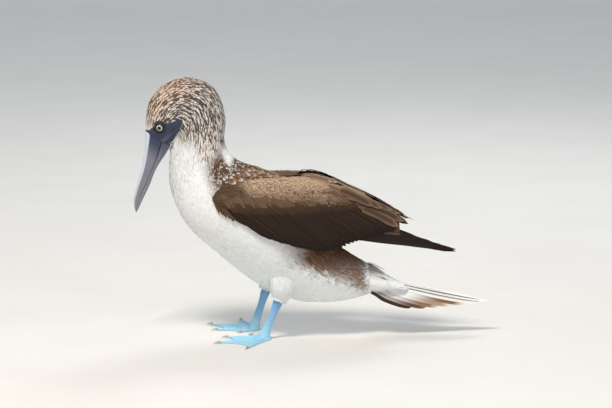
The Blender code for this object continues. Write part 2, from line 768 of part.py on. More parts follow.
clear_scene()
BIRD = new_collection("blue_footed_booby")
MATERIALS = {name: new_material(name) for name in SKIN}
body_part("torso", TORSO_STATIONS, "plumage_white")
body_part("neck", NECK_STATIONS, "plumage_head")
make_head()
make_eyes()
make_bill()
make_wings()
make_tail()
make_legs()
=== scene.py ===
# %% [markdown]
# # A blue-footed booby, life size
#
# This lesson builds the looks of a standing seabird round its solid model. The solids give the size
# and the outline; here the bird gets its bare face and lids, its eyes, a horn bill with its groove,
# thousands of overlapping feathers, and scaled blue legs and feet. The bird faces -X, its left side
# is at -Y, and the floor is z = 0. Lengths are in millimetres and become metres when a mesh is made.

import math

import bpy
import numpy as np
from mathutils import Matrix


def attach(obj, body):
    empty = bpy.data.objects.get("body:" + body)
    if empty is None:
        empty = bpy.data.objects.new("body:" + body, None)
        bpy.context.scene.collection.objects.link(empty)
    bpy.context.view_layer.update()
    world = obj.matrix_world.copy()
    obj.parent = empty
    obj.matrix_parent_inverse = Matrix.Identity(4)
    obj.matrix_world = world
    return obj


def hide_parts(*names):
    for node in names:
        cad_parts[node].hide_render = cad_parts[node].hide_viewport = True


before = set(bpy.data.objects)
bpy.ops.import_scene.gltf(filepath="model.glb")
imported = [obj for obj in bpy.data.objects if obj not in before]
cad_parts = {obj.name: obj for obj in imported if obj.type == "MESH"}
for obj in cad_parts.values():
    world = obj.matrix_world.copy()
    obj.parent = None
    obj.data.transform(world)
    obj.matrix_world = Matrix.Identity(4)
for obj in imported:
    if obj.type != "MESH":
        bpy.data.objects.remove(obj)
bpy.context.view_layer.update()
MM = 0.001

# %% [markdown]
# ## The surfaces that everything lies on
#
# A bird's outline is mostly feathers, so its body can be described as one smooth form: a ring for
# each station from the tail root over the back and crown to the base of the bill. The table gives
# the back line, the belly line and the half width, and a smooth curve is read between its rows.
# The same formula places the skin and the root of every feather, so the two can't drift apart.

# %% Body surface
# Stations: back x, z, belly x, z, half width, and how far the widest line lies towards the back
BODY = np.array([
    (73.5, 99.0, 76.5, 54.5, 24.0, 0.00),
    (50.0, 113.5, 52.0, 48.0, 34.0, 0.00),
    (30.0, 130.0, 28.0, 45.0, 42.0, -0.05),
    (9.0, 168.0, 0.0, 45.0, 50.0, -0.05),
    (-14.0, 206.0, -26.0, 49.0, 56.0, 0.00),
    (-65.0, 228.5, -80.0, 75.0, 61.5, 0.05),
    (-97.0, 239.5, -137.5, 121.5, 56.5, 0.05),
    (-113.0, 253.5, -172.5, 156.5, 44.0, 0.00),
    (-118.5, 271.5, -192.0, 202.0, 33.5, 0.00),
    (-117.0, 299.0, -193.8, 239.0, 30.0, 0.00),
    (-127.0, 333.0, -192.4, 255.0, 28.5, 0.05),
    (-147.5, 350.5, -191.2, 260.0, 28.0, 0.10),
    (-174.0, 355.0, -190.6, 262.4, 27.0, 0.10),
    (-201.5, 344.5, -190.4, 263.5, 25.0, 0.05),
    (-220.0, 322.0, -190.5, 263.8, 22.0, 0.00),
    (-225.0, 299.5, -191.2, 263.0, 17.5, 0.00),
    (-225.3, 281.7, -192.0, 261.7, 12.5, 0.00),
])
BILL_BASE = 16.0
NECK_BASE, HEAD_BASE = 7.35, 10.35
TURN = 2 * math.pi


def unit(v):
    """Vectors scaled to length one."""
    return v / np.maximum(np.linalg.norm(v, axis=-1, keepdims=True), 1e-12)


def smooth(low, high, x):
    """0 below low, 1 above high, and an S-shaped rise 3t^2 - 2t^3 between them."""
    t = np.clip((x - low) / (high - low), 0, 1)
    return t * t * (3 - 2 * t)


def spline(table, at):
    """Rows of a table read at real row numbers on a smooth curve through every row (cubic Hermite).

    Beyond the first and last row the curve goes on straight.
    """
    table = np.asarray(table, float)
    at = np.asarray(at, float)
    inside = np.clip(at, 0, len(table) - 1)
    over = (at - inside)[..., None]
    slope = np.gradient(table, axis=0)
    low = np.minimum(inside.astype(int), len(table) - 2)
    t = (inside - low)[..., None]
    a, b, da, db = table[low], table[low + 1], slope[low], slope[low + 1]
    on_curve = (
        a * (1 + 2 * t) * (1 - t) ** 2
        + da * t * (1 - t) ** 2
        + b * t * t * (3 - 2 * t)
        + db * t * t * (t - 1)
    )
    return on_curve + over * np.where(over < 0, slope[0], slope[-1])


def by_x(table, x):
    """The same smooth curve, read at x, the table's first column."""
    table = np.asarray(table, float)
    return spline(table[:, 1:], np.interp(x, table[:, 0], np.arange(len(table))))


def body_surface(s, phi):
    """Middle of the chord + half chord times (cos phi + q sin^2 phi), and half width times sin phi.

    phi is 0 on the back, pi on the belly, and below pi on the bird's right side.
    """
    row = spline(BODY, s)
    middle_x, middle_z = (row[..., 0] + row[..., 2]) / 2, (row[..., 1] + row[..., 3]) / 2
    half_x, half_z = (row[..., 0] - row[..., 2]) / 2, (row[..., 1] - row[..., 3]) / 2
    swing = np.cos(phi) + row[..., 5] * np.sin(phi) ** 2
    aside = row[..., 4] * np.sin(phi)
    return np.stack([middle_x + half_x * swing, aside, middle_z + half_z * swing], axis=-1)


def from_back(phi):
    """The angle from the back as a share of half a turn: 0 on the back and 1 on the belly."""
    return np.abs((phi + math.pi) % TURN - math.pi) / math.pi


def on_unwrap(s, phi):
    """A place of the body on the unwrap of the skin: round it, and above the thighs' quarter."""
    return np.stack([phi / TURN, 0.25 + 0.74 * s / BILL_BASE], axis=-1)


def frame_on(surface, a, b):
    """Points of a surface with both tangents and the outward normal, their cross product."""
    step = 1e-3
    along_a = (surface(a + step, b) - surface(a - step, b)) / (2 * step)
    along_b = (surface(a, b + step) - surface(a, b - step)) / (2 * step)
    return surface(a, b), along_a, along_b, unit(np.cross(along_b, along_a))


print("crown of the head, mm:", np.round(body_surface(12.0, 0.0), 1))

# %% [markdown]
# ## Making a mesh from arrays
#
# Every piece is computed as whole arrays of points and four-sided faces. One function turns them
# into an object, gives it its material, and hides the solid nodes it stands for. A closed shape has
# a positive volume when its faces look outwards, which is a quick test for the winding.

# %% Meshes
def grid_faces(rows, columns, closed=False):
    """Quads between neighbouring points of a grid of rows by columns; closed joins the last column."""
    index = np.arange(rows * columns).reshape(rows, columns)
    right = np.roll(index, -1, axis=1)
    quads = np.stack([index[:-1], right[:-1], right[1:], index[1:]], axis=-1)
    return (quads if closed else quads[:, :-1]).reshape(-1, 4)


def tube_faces(rows, columns):
    """Quads round a tube of even rings, and over both its ends, folded like the mouth of a purse."""
    index = np.arange(rows * columns).reshape(rows, columns)
    step = np.arange(columns // 2 - 1)
    faces = [grid_faces(rows, columns, closed=True)]
    for ring, turned in ((index[0], -1), (index[-1], 1)):
        cap = np.stack([ring[step], ring[step + 1], ring[-2 - step], ring[-1 - step]], axis=-1)
        faces.append(cap[:, ::turned])
    return np.concatenate(faces)


def volume(points, faces):
    """Signed volume: a sixth of the sum of the box products of each triangle's corners."""
    total = 0.0
    for second, third in ((1, 2), (2, 3)):
        a, b, c = points[faces[:, 0]], points[faces[:, second]], points[faces[:, third]]
        total += np.einsum("ij,ij->", a, np.cross(b, c)) / 6
    return total


def closed_tube(rings):
    """A closed form over even rings of points."""
    rings = np.asarray(rings)
    return rings, tube_faces(*rings.shape[:2])


def outward(points, faces):
    """The faces, turned over if they look inwards."""
    return faces if volume(points - points.mean(axis=0), faces) > 0 else faces[:, ::-1]


def add_mesh(name, points, faces, material, slot, hides=(),
             uvs=None, colours=None, numbers=None, normals=None):
    """An object from points in millimetres and quads, with its maps and attributes, hiding its solid nodes.

    Normals, if given, are what the points are shaded by, so that soft vanes shade as one coat.
    """
    points = np.asarray(points, float).reshape(-1, 3)
    faces = outward(points, np.asarray(faces))
    mesh = bpy.data.meshes.new(name)
    mesh.vertices.add(len(points))
    mesh.vertices.foreach_set("co", (points * MM).ravel())
    mesh.loops.add(faces.size)
    mesh.loops.foreach_set("vertex_index", faces.ravel())
    mesh.polygons.add(len(faces))
    mesh.polygons.foreach_set("loop_start", np.arange(0, faces.size, 4))
    for map_name, value in (uvs or {}).items():
        layer = mesh.uv_layers.new(name=map_name)
        layer.data.foreach_set("uv", np.asarray(value, float).reshape(-1, 2)[faces.ravel()].ravel())
    for attribute_name, value in (colours or {}).items():
        layer = mesh.attributes.new(attribute_name, "FLOAT_COLOR", "POINT")
        rgb = np.asarray(value, float).reshape(-1, 3)
        layer.data.foreach_set("color", np.column_stack([rgb, np.ones(len(rgb))]).ravel())
    for attribute_name, value in (numbers or {}).items():
        layer = mesh.attributes.new(attribute_name, "FLOAT", "POINT")
        layer.data.foreach_set("value", np.asarray(value, float).ravel())
    mesh.update(calc_edges=True)
    mesh.validate()
    mesh.shade_smooth()
    if normals is not None:
        mesh.normals_split_custom_set_from_vertices(unit(normals.reshape(-1, 3)).tolist())
    mesh.materials.append(material)
    made = bpy.data.objects.new(name, mesh)
    bpy.context.scene.collection.objects.link(made)
    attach(made, "root")
    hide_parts(*hides)
    print(f"{name}: {2 * len(faces):,} triangles")
    return made


def join_forms(forms):
    """Several (points, faces) as one, each with its faces outwards and renumbered."""
    flat = [points.reshape(-1, 3) for points, _ in forms]
    offset = np.cumsum([0] + [len(points) for points in flat[:-1]])
    faces = [outward(points, faces) + start for points, (_, faces), start in zip(flat, forms, offset)]
    return np.concatenate(flat), np.concatenate(faces)


# %% [markdown]
# ## Colours and materials
#
# Colours are written as they look on a screen and turned to the linear values that light is
# computed with. Feathers get their markings from numbers stored on their points; the material adds
# what is too fine for that: the barbs, a few tenths of a millimetre wide, with painted shade in their
# grooves and painted light on their ridges, and the shaft.

# %% Materials
def linear(code):
    """A six-digit sRGB colour as linear red, green and blue: ((c + 0.055) / 1.055)^2.4."""
    value = np.array([int(code[k : k + 2], 16) / 255 for k in (0, 2, 4)])
    return np.where(value <= 0.04045, value / 12.92, ((value + 0.055) / 1.055) ** 2.4)


def add_node(tree, kind, links=None, values=None, **settings):
    """A shader node with its settings, its sockets' values and its incoming links."""
    made = tree.nodes.new(kind)
    for key, value in settings.items():
        setattr(made, key, value)
    for key, value in (values or {}).items():
        made.inputs[key].default_value = value
    for key, source in (links or {}).items():
        tree.links.new(source, made.inputs[key])
    return made


def new_material(name, roughness, **values):
    """A material and its Principled shader, with plain values set on the shader."""
    made = bpy.data.materials.new(name)
    made.use_nodes = True
    shader = made.node_tree.nodes["Principled BSDF"]
    shader.inputs["Roughness"].default_value = roughness
    for key, value in values.items():
        shader.inputs[key.replace("_", " ")].default_value = value
    return made, made.node_tree, shader


def computed(tree, operation, links, values=None):
    """The result of a math node, with its links and values by the number of their socket."""
    return add_node(tree, "ShaderNodeMath", links, values, operation=operation).outputs[0]


def moved_range(tree, source, low, high, to_low, to_high):
    """A value carried from the range low to high over to the range to_low to to_high."""
    values = {1: low, 2: high, 3: to_low, 4: to_high}
    return add_node(tree, "ShaderNodeMapRange", {0: source}, values).outputs[0]


def multiplied(tree, first, second):
    """Two colours multiplied."""
    return add_node(tree, "ShaderNodeMix", {6: first, 7: second}, {0: 1.0},
                    data_type="RGBA", blend_type="MULTIPLY").outputs[2]


def noise(tree, place, scale, detail, roughness=0.6):
    """Cloudy noise with its scale per metre and its number of finer layers."""
    values = {"Scale": scale, "Detail": detail, "Roughness": roughness}
    return add_node(tree, "ShaderNodeTexNoise", {"Vector": place}, values).outputs["Fac"]


def add_bump(tree, shader, height, distance, strength=1.0):
    """Relief from a height, with its depth in metres."""
    relief = add_node(tree, "ShaderNodeBump", {"Height": height},
                      {"Distance": distance, "Strength": strength})
    tree.links.new(relief.outputs["Normal"], shader.inputs["Normal"])


def finish_material(tree, shader, colour, grain, roughness, spread):
    """Colour, and a roughness that the grain moves by spread either way, up to 1."""
    tree.links.new(colour, shader.inputs["Base Color"])
    rough = moved_range(tree, grain, 0.0, 1.0, roughness - spread, min(roughness + spread, 1.0))
    tree.links.new(rough, shader.inputs["Roughness"])


BARB_SLANT = 0.35
BARB_RELIEF = 0.35
GRAIN_SCALE = 900.0


def plumage_material(name, roughness, barbs, barb_depth, shaft=0.0, shaft_code="b58a5c"):
    """Feathers: barbs slant from the shaft to the edges, and colour is read from the points.

    Stripes run where along - BARB_SLANT |across| is constant, barbs of them over the length. Their
    relief is also painted into the colour, as shade in the grooves and light on the ridges.
    """
    made, tree, shader = new_material(name, roughness, Specular_IOR_Level=0.14)
    colour = add_node(tree, "ShaderNodeVertexColor", layer_name="Plumage")
    place = add_node(tree, "ShaderNodeUVMap", uv_map="Vane")
    split = add_node(tree, "ShaderNodeSeparateXYZ", {0: place.outputs["UV"]})
    away = computed(tree, "ABSOLUTE", {0: computed(tree, "SUBTRACT", {0: split.outputs["X"]}, {1: 0.5})})
    slant = computed(tree, "MULTIPLY_ADD", {0: away, 2: split.outputs["Y"]}, {1: -BARB_SLANT})
    barb = computed(tree, "SINE", {0: computed(tree, "MULTIPLY", {0: slant}, {1: barbs * TURN})})
    spot = add_node(tree, "ShaderNodeTexCoord")
    grain = noise(tree, spot.outputs["Object"], GRAIN_SCALE, 3.0)
    relief = computed(tree, "MULTIPLY_ADD", {0: barb, 2: grain}, {1: BARB_RELIEF})
    add_bump(tree, shader, relief, barb_depth, 0.7)
    # Painted shade and light: the barb relief darkens the colour in the grooves and lightens it on the ridges
    last = multiplied(tree, colour.outputs["Color"], moved_range(tree, relief, 0.0, 1.0, 0.86, 1.1))
    if shaft:
        line = moved_range(tree, away, 0.012, 0.035, shaft, 0.0)
        shaded = add_node(tree, "ShaderNodeMix", {0: line, 6: last}, data_type="RGBA")
        shaded.inputs[7].default_value = (*linear(shaft_code), 1.0)
        last = shaded.outputs[2]
    finish_material(tree, shader, last, grain, roughness, 0.08)
    return made


def mottled_material(name, colour_a, colour_b, scale, roughness, depth,
                     attribute=None, cells=None, upright=1.0):
    """A surface that varies between two colours, with fine relief and, if asked for, scales with painted
    shade in their seams.

    With upright under 1 the pattern is drawn out along Z, as the growth lines of a bill are.
    """
    made, tree, shader = new_material(name, roughness)
    spot = add_node(tree, "ShaderNodeTexCoord").outputs["Object"]
    drawn = add_node(tree, "ShaderNodeMapping", {0: spot}, {3: (1.0, 1.0, upright)})
    cloud = noise(tree, drawn.outputs[0], scale, 5.0)
    blend = add_node(tree, "ShaderNodeMix", {0: cloud}, data_type="RGBA")
    blend.inputs[6].default_value = (*linear(colour_a), 1.0)
    blend.inputs[7].default_value = (*linear(colour_b), 1.0)
    last, height = blend.outputs[2], cloud
    if attribute:
        own = add_node(tree, "ShaderNodeVertexColor", layer_name=attribute)
        last = multiplied(tree, last, own.outputs["Color"])
    if cells:
        seams = add_node(tree, "ShaderNodeTexVoronoi", {"Vector": spot},
                         {"Scale": cells, "Randomness": 0.75}, feature="DISTANCE_TO_EDGE")
        height = moved_range(tree, seams.outputs["Distance"], 0.0, 0.16, 0.0, 1.0)
        # Painted shade: the colour darkens to 0.72 in the seams between the scales, where the bump sinks
        last = multiplied(tree, last, moved_range(tree, seams.outputs["Distance"], 0.0, 0.10, 0.72, 1.0))
    add_bump(tree, shader, height, depth, 0.8)
    finish_material(tree, shader, last, cloud, roughness, 0.1)
    return made


WHITE = linear("f0f1f0")
CREAM = linear("f5ece2")
BUFF = linear("ecd3bd")
HEAD_BROWN = linear("4a3020")
EAR_BROWN = linear("2b1b13")
CROWN_BROWN = linear("66412c")
MANTLE_BROWN = linear("5b4130")
RUMP_BROWN = linear("8d6c54")
COVERT_BROWN = linear("7d6049")
COVERT_EDGE = linear("c2a78d")
DARK_BROWN = linear("3a2a20")

small_plumage = plumage_material("small_body_feathers", 0.85, 5.0, 0.00008)
wing_plumage = plumage_material("wing_covert_feathers", 0.7, 8.0, 0.00008)
flight_plumage = plumage_material("stiff_flight_feathers", 0.6, 60.0, 0.00006, 0.18, "8a6a4a")

# %% [markdown]
# ## The bare face
#
# Between the bill and the eye a booby has no feathers: slate-blue skin runs from the bill's base
# round the eye and back to a point behind the corner of the mouth. Its edge is a polygon in side
# view, joined with a disc round the eye. The distance to that edge, negative inside, tells the skin
# where to be bare and the feathers where not to grow.

# %% Face outline
EYE_CENTRE = np.array([-204.8, 15.8, 290.2])
EYE_RADIUS = 7.4
EYE_AIM = np.array([-0.34, 0.91, -0.22])
EYE_SPOT = np.array([-206.7, 289.0])
FACE_DISC = 8.3
FACE_EDGE = np.array([
    (-232.0, 282.5), (-220.3, 283.6), (-212.0, 291.5), (-204.0, 297.0), (-197.9, 293.2), (-188.5, 298.3),
    (-181.0, 302.0), (-177.2, 296.5), (-184.0, 281.0), (-193.5, 264.6), (-191.0, 255.0), (-232.0, 255.0),
])


def edge_distance(x, z, corners):
    """Distance in side view to a polygon's edge, negative inside (crossing count and nearest edge)."""
    spot = np.stack([x, z], axis=-1)
    nearest = np.full(spot.shape[:-1], 1e9)
    inside = np.zeros(spot.shape[:-1], bool)
    for a, b in zip(corners, np.roll(corners, -1, axis=0)):
        run = b - a
        share = np.clip(((spot - a) @ run) / (run @ run), 0, 1)
        nearest = np.minimum(nearest, np.linalg.norm(spot - a - share[..., None] * run, axis=-1))
        crosses = (a[1] > spot[..., 1]) != (b[1] > spot[..., 1])
        at_x = a[0] + (spot[..., 1] - a[1]) * run[0] / (run[1] if run[1] else 1e-9)
        inside ^= crosses & (spot[..., 0] < at_x)
    return np.where(inside, -nearest, nearest)


def face_distance(points):
    """How far a point of the head is outside the bare face, in millimetres."""
    x, z = points[..., 0], points[..., 2]
    disc = np.hypot(x - EYE_SPOT[0], z - EYE_SPOT[1]) - FACE_DISC
    return np.minimum(edge_distance(x, z, FACE_EDGE), disc)


print("inside the face:", face_distance(np.array([[-200.0, 0, 280.0]])) < 0)

# %% [markdown]
# ## Markings
#
# Head and hind neck are cream, streaked with warm brown; throat, breast and belly are white; the
# nape's base carries a white patch, and behind it the mantle is brown with white tips. One function
# gives these for any place on the body. The skin takes the mean colour, darkened a little as painted
# shade where it shows between the feathers, and each feather its own centre, edge and tip, so skin
# and coat carry the same markings.

# %% Markings of the body
STREAK_LIMIT = np.array([  # station, and where the coloured plumage ends, as a share of pi from the back
    (0.0, 0.40), (3.6, 0.40), (5.0, 0.42), (6.2, 0.42), (7.0, 0.47), (8.0, 0.44),
    (9.0, 0.53), (10.5, 0.72), (11.5, 0.76), (12.5, 0.80), (16.0, 0.80),
])


RUMP_EDGE = np.array([(-40.0, 108.0), (-10.0, 101.0), (20.0, 88.0), (45.0, 70.0), (60.0, 60.0)])


def body_markings(s, phi, points, chance=0.5):
    """Shares of each kind of marking, from the station, the angle from the back, and the place.

    Each kind fades in and out between stations, from 0 at the rump to 16 at the bill. The rump's
    brown ends at a line in side view, raggedly, since chance moves it for each feather.
    """
    round_share = from_back(phi)
    limit = np.interp(s, STREAK_LIMIT[:, 0], STREAK_LIMIT[:, 1])
    coloured = 1 - smooth(limit - 0.09, limit + 0.07, round_share)
    head = smooth(7.6, 8.4, s)
    ragged = 12.0 * (np.asarray(chance) - 0.5)
    above = points[..., 2] - np.interp(points[..., 0], RUMP_EDGE[:, 0], RUMP_EDGE[:, 1]) + ragged
    behind = points[..., 0] + ragged - 14.0 * smooth(100, 125, points[..., 2])
    rump = (1 - smooth(3.8, 4.9, s)) * smooth(-12, 12, above) * (1 - smooth(60, 76, behind))
    nape = smooth(6.7, 7.1, s) * (1 - smooth(7.7, 8.2, s)) * (1 - smooth(0.15, 0.24, round_share))
    mantle = (1 - head) * coloured * (1 - nape) * smooth(3.3, 3.9, s)
    streak = head * coloured * (1 - 0.9 * nape)
    lores = smooth(14.5, 15.6, s)
    crown = smooth(11.0, 12.4, s) * (1 - smooth(0.25, 0.55, round_share)) * (1 - lores)
    ear = np.exp(-(((s - 10.6) / 1.3) ** 2) - (((round_share - 0.45) / 0.2) ** 2))
    return {"streak": streak, "mantle": mantle, "rump": rump, "lores": lores, "crown": crown, "ear": ear}


def mix(a, b, share):
    """Colours a and b mixed by share, which is 0 for a."""
    return a + (b - a) * np.asarray(share)[..., None]


def body_colours(s, phi, points, chance):
    """Centre, edge and tip colour of a feather at a place, with chance from 0 to 1 to vary it."""
    m = body_markings(s, phi, points, chance)
    plain = np.broadcast_to(WHITE, (*np.shape(s), 3))
    zero = 0 * plain
    brown = mix(zero + HEAD_BROWN, EAR_BROWN, m["ear"])
    brown = mix(brown, CROWN_BROWN, m["crown"] * 0.8)
    brown = mix(brown, EAR_BROWN, smooth(0.55, 1.0, chance) * 0.8)
    pale = mix(mix(zero + CREAM, BUFF, m["crown"] * 0.6 + 0.1), WHITE, 0.25 * (1 - m["crown"]))
    from_chance = 0.38 - 0.06 * m["ear"] + 0.06 * m["crown"]
    from_chance = from_chance + 0.24 * (1 - smooth(8.6, 10.6, s)) + 0.25 * m["lores"]
    dark = smooth(from_chance - 0.07, from_chance + 0.07, chance)
    strength = m["streak"] * (0.10 + 0.90 * dark) * (1 - 0.3 * m["lores"])
    ground = mix(plain, pale, m["streak"])
    centre = mix(ground, brown, strength)
    edge = mix(ground, brown, strength * 0.85)
    tip = mix(ground, brown, strength * 0.9)
    mantle_brown = mix(zero + MANTLE_BROWN, DARK_BROWN, 0.45 * chance)
    centre = mix(centre, mantle_brown, m["mantle"])
    edge = mix(edge, mantle_brown * 1.1, m["mantle"])
    pale_tip = mix(zero + COVERT_EDGE, WHITE, smooth(5.7, 6.5, s))
    tip = mix(tip, mix(mantle_brown, pale_tip, smooth(0.55, 0.7, chance)), m["mantle"])
    under_wing = smooth(95.0, 125.0, points[..., 2])
    rump_brown = mix(zero + RUMP_BROWN, HEAD_BROWN, 0.5 * chance + 0.4 * under_wing)
    centre = mix(centre, rump_brown, m["rump"])
    edge = mix(edge, mix(rump_brown, WHITE, 0.15 * (1 - under_wing)), m["rump"])
    tip = mix(tip, mix(rump_brown, WHITE, 0.35 * (1 - under_wing) * smooth(0.3, 0.7, chance)), m["rump"])
    return centre, edge, tip


# %% [markdown]
# ## The skin
#
# One skin runs without a seam from the rump over the neck and face to the bill. It lies inside the
# solids by the coat's depth and comes up to their surface on the bare face, where the folds show:
# the crease behind the mouth, the ring of skin round each eye, and fine pebbling. The thighs are
# grown from the same mesh, since feathers hide where they meet the belly.

# %% Skin
MOUTH_LINE = np.array([(-206.8, 263.7), (-203.8, 268.7), (-195.5, 277.0), (-181.5, 292.5)])


def coat_depth(s, points):
    """Coat depth in millimetres: thin on the forehead, deeper on the neck, deepest on the breast."""
    deep = np.interp(s, [0, 3, 6.5, 8, 10, 13, 16], [1.5, 1.7, 1.7, 1.7, 1.6, 1.3, 0.8])
    return deep * smooth(0.0, 2.0, face_distance(points))


def line_distance(x, z, line):
    """Distance in side view to a bent line, and the share of the way along it."""
    spot = np.stack([x, z], axis=-1)
    nearest, share_of = np.full(spot.shape[:-1], 1e9), np.zeros(spot.shape[:-1])
    for k, (a, b) in enumerate(zip(line[:-1], line[1:])):
        run = b - a
        share = np.clip(((spot - a) @ run) / (run @ run), 0, 1)
        away = np.linalg.norm(spot - a - share[..., None] * run, axis=-1)
        share_of = np.where(away < nearest, (k + share) / (len(line) - 1), share_of)
        nearest = np.minimum(nearest, away)
    return nearest, share_of


def skin_height(s, points):
    """Height of the skin over the solids' surface: minus the coat, plus the folds of the face."""
    x, z = points[..., 0], points[..., 2]
    away, share = line_distance(x, z, MOUTH_LINE)
    crease = -1.3 * np.exp(-((away / 1.0) ** 2)) * (1 - smooth(0.85, 1.0, share))
    lip = 0.5 * np.exp(-(((away - 2.4) / 1.1) ** 2)) * (1 - smooth(0.7, 1.0, share))
    ring = np.hypot(x - EYE_SPOT[0], z - EYE_SPOT[1])
    fold = 0.45 * np.exp(-(((ring - 8.6) / 1.0) ** 2)) - 0.35 * np.exp(-(((ring - 7.5) / 0.6) ** 2))
    on_face = 1 - smooth(-0.6, 0.6, face_distance(points))
    return -coat_depth(s, points) + (crease + lip + fold) * on_face


def skin_point(s, phi):
    """The skin: the body surface moved along its normal by skin_height."""
    at, _, _, out = frame_on(body_surface, s, phi)
    return at + out * skin_height(s, at)[..., None]


LEG_SIDE = 32.0
LEGS = {
    "left": {"side": -1, "hip": (-36.0, 104.0), "knee": (-46.0, 56.5), "ankle": (-64.5, 11.5), "turn": 5.0},
    "right": {"side": 1, "hip": (-50.0, 108.0), "knee": (-59.5, 60.5), "ankle": (-75.0, 12.0), "turn": 15.0},
}
# Thigh: share of the way from hip to knee, half depth and half width
THIGH = np.array([
    (0.0, 22.0, 8.0), (0.45, 19.5, 11.5), (0.75, 14.5, 12.0), (0.92, 10.5, 9.5), (1.0, 8.2, 7.2),
])
THIGH_COAT = 1.6
THIGH_GRID = (30, 48)


def leg_points(leg):
    """Hip, knee and ankle of a leg as points."""
    return [np.array([leg[k][0], leg["side"] * LEG_SIDE, leg[k][1]]) for k in ("hip", "knee", "ankle")]


def thigh_surface(leg):
    """The thigh as a function of the share of the way down it and the angle round it."""
    hip, knee, ankle = leg_points(leg)
    fall, down = unit(knee - hip), unit(ankle - knee)

    def surface(share, phi):
        """Centre + ahead times half depth cos phi + sideways times half width sin phi."""
        row = by_x(THIGH, np.clip(share, 0, 1))
        axis = unit(fall + (down - fall) * np.clip(share, 0, 1)[..., None])
        ahead = np.cross(axis, (0.0, 1.0, 0.0))
        centre = hip + (knee - hip) * share[..., None]
        return (centre + ahead * (row[..., 0] * np.cos(phi))[..., None]
                + np.array([0.0, 1.0, 0.0]) * (row[..., 1] * np.sin(phi))[..., None])

    return surface


stations = np.concatenate([np.linspace(0, HEAD_BASE, 110)[:-1], np.linspace(HEAD_BASE, BILL_BASE, 190)])
turns = np.linspace(0, TURN, 160, endpoint=False)
s_grid, phi_grid = np.meshgrid(stations, turns, indexing="ij")
skin_points = skin_point(s_grid, phi_grid)
solid_points = body_surface(s_grid, phi_grid)
skin_faces = tube_faces(len(stations), len(turns))
half = np.full(s_grid.shape, 0.5)
centre_rgb, edge_rgb, _ = body_colours(s_grid, phi_grid, solid_points, half)
bare = 1 - smooth(0.6, 1.6, face_distance(solid_points))
gape, gape_share = line_distance(solid_points[..., 0], solid_points[..., 2], MOUTH_LINE)
by_mouth = (1 - smooth(1.2, 3.2, gape)) * (1 - smooth(0.55, 0.9, gape_share))
slate = mix(linear("36415c") + 0 * centre_rgb, linear("77788a"), by_mouth)
ring = np.hypot(solid_points[..., 0] - EYE_SPOT[0], solid_points[..., 2] - EYE_SPOT[1])
slate = mix(slate, linear("12151d"), 1 - smooth(7.4, 9.2, ring))
# Painted shade: where the skin shows between the feathers, it is 0.9 as bright as their mean colour
feather_bed_in_painted_shade = (centre_rgb + edge_rgb) / 2 * 0.9
skin_rgb = mix(feather_bed_in_painted_shade, slate, bare).reshape(-1, 3)
body_unwrap = on_unwrap(s_grid, phi_grid).reshape(-1, 2)
forms = [(skin_points, skin_faces)]
thigh_uv, thigh_rgb = [], []
for k, leg in enumerate(LEGS.values()):
    share, phi = np.meshgrid(np.linspace(0, 1, THIGH_GRID[0]),
                             np.linspace(0, TURN, THIGH_GRID[1], endpoint=False), indexing="ij")
    at, _, _, out = frame_on(thigh_surface(leg), share, phi)
    form = (at - out * THIGH_COAT).reshape(-1, 3)
    forms.append((form, tube_faces(*THIGH_GRID)))
    place = np.stack([0.02 + 0.47 * k + 0.44 * phi / TURN, 0.02 + 0.2 * share], axis=-1)
    thigh_uv.append(place.reshape(-1, 2))
    thigh_rgb.append(np.tile(WHITE * 0.95, (len(form), 1)))
all_points, all_faces = join_forms(forms)
print("skin points:", len(all_points))

# %% Skin material and mesh
skin_material = mottled_material("feather_bed_and_bare_face", "d8d8d8", "ffffff", 240.0, 0.62, 0.00025,
                                 attribute="Plumage", cells=1100.0)
add_mesh("skin", all_points, all_faces, skin_material, "plumage_head",
         ("torso", "neck", "head", "thigh_left", "thigh_right"),
         uvs={"OFBake": np.concatenate([body_unwrap, *thigh_uv])},
         colours={"Plumage": np.concatenate([skin_rgb, *thigh_rgb])})

# %% [markdown]
# ## Lids and eyes
#
# A booby's eye has a pale yellow iris and a round black pupil, larger in the female. It sits in a
# ring of dark bare skin that swells like a cord. The ball is built with its pole on the line of
# sight, so that pupil and iris are exact rings of points.

# %% Eyes
EYE_GRID = (64, 48)
LID_GRID = (72, 16)
LID_INNER = 5.9
LID_RADIUS = 5.95
LID_THICK = 1.25


def sided(point, side):
    """Points given for the right side, on the side asked for."""
    return np.asarray(point) * (1, side, 1)


def sight_frame(side):
    """The line of sight with a level and an upright direction square to it."""
    aim = unit(sided(EYE_AIM, side))
    level = unit(np.cross(aim, (0.0, 0.0, 1.0)))
    return aim, level, np.cross(level, aim)


def eye_ball(side):
    """A ball: centre + radius (aim cos a + (level cos b + upright sin b) sin a)."""
    aim, level, upright = sight_frame(side)
    a, b = np.meshgrid(np.linspace(0.02, math.pi - 0.02, EYE_GRID[0]),
                       np.linspace(0, TURN, EYE_GRID[1], endpoint=False), indexing="ij")
    ring = level * np.cos(b)[..., None] + upright * np.sin(b)[..., None]
    ball = aim * np.cos(a)[..., None] + ring * np.sin(a)[..., None]
    return sided(EYE_CENTRE, side) + EYE_RADIUS * ball, np.degrees(a)


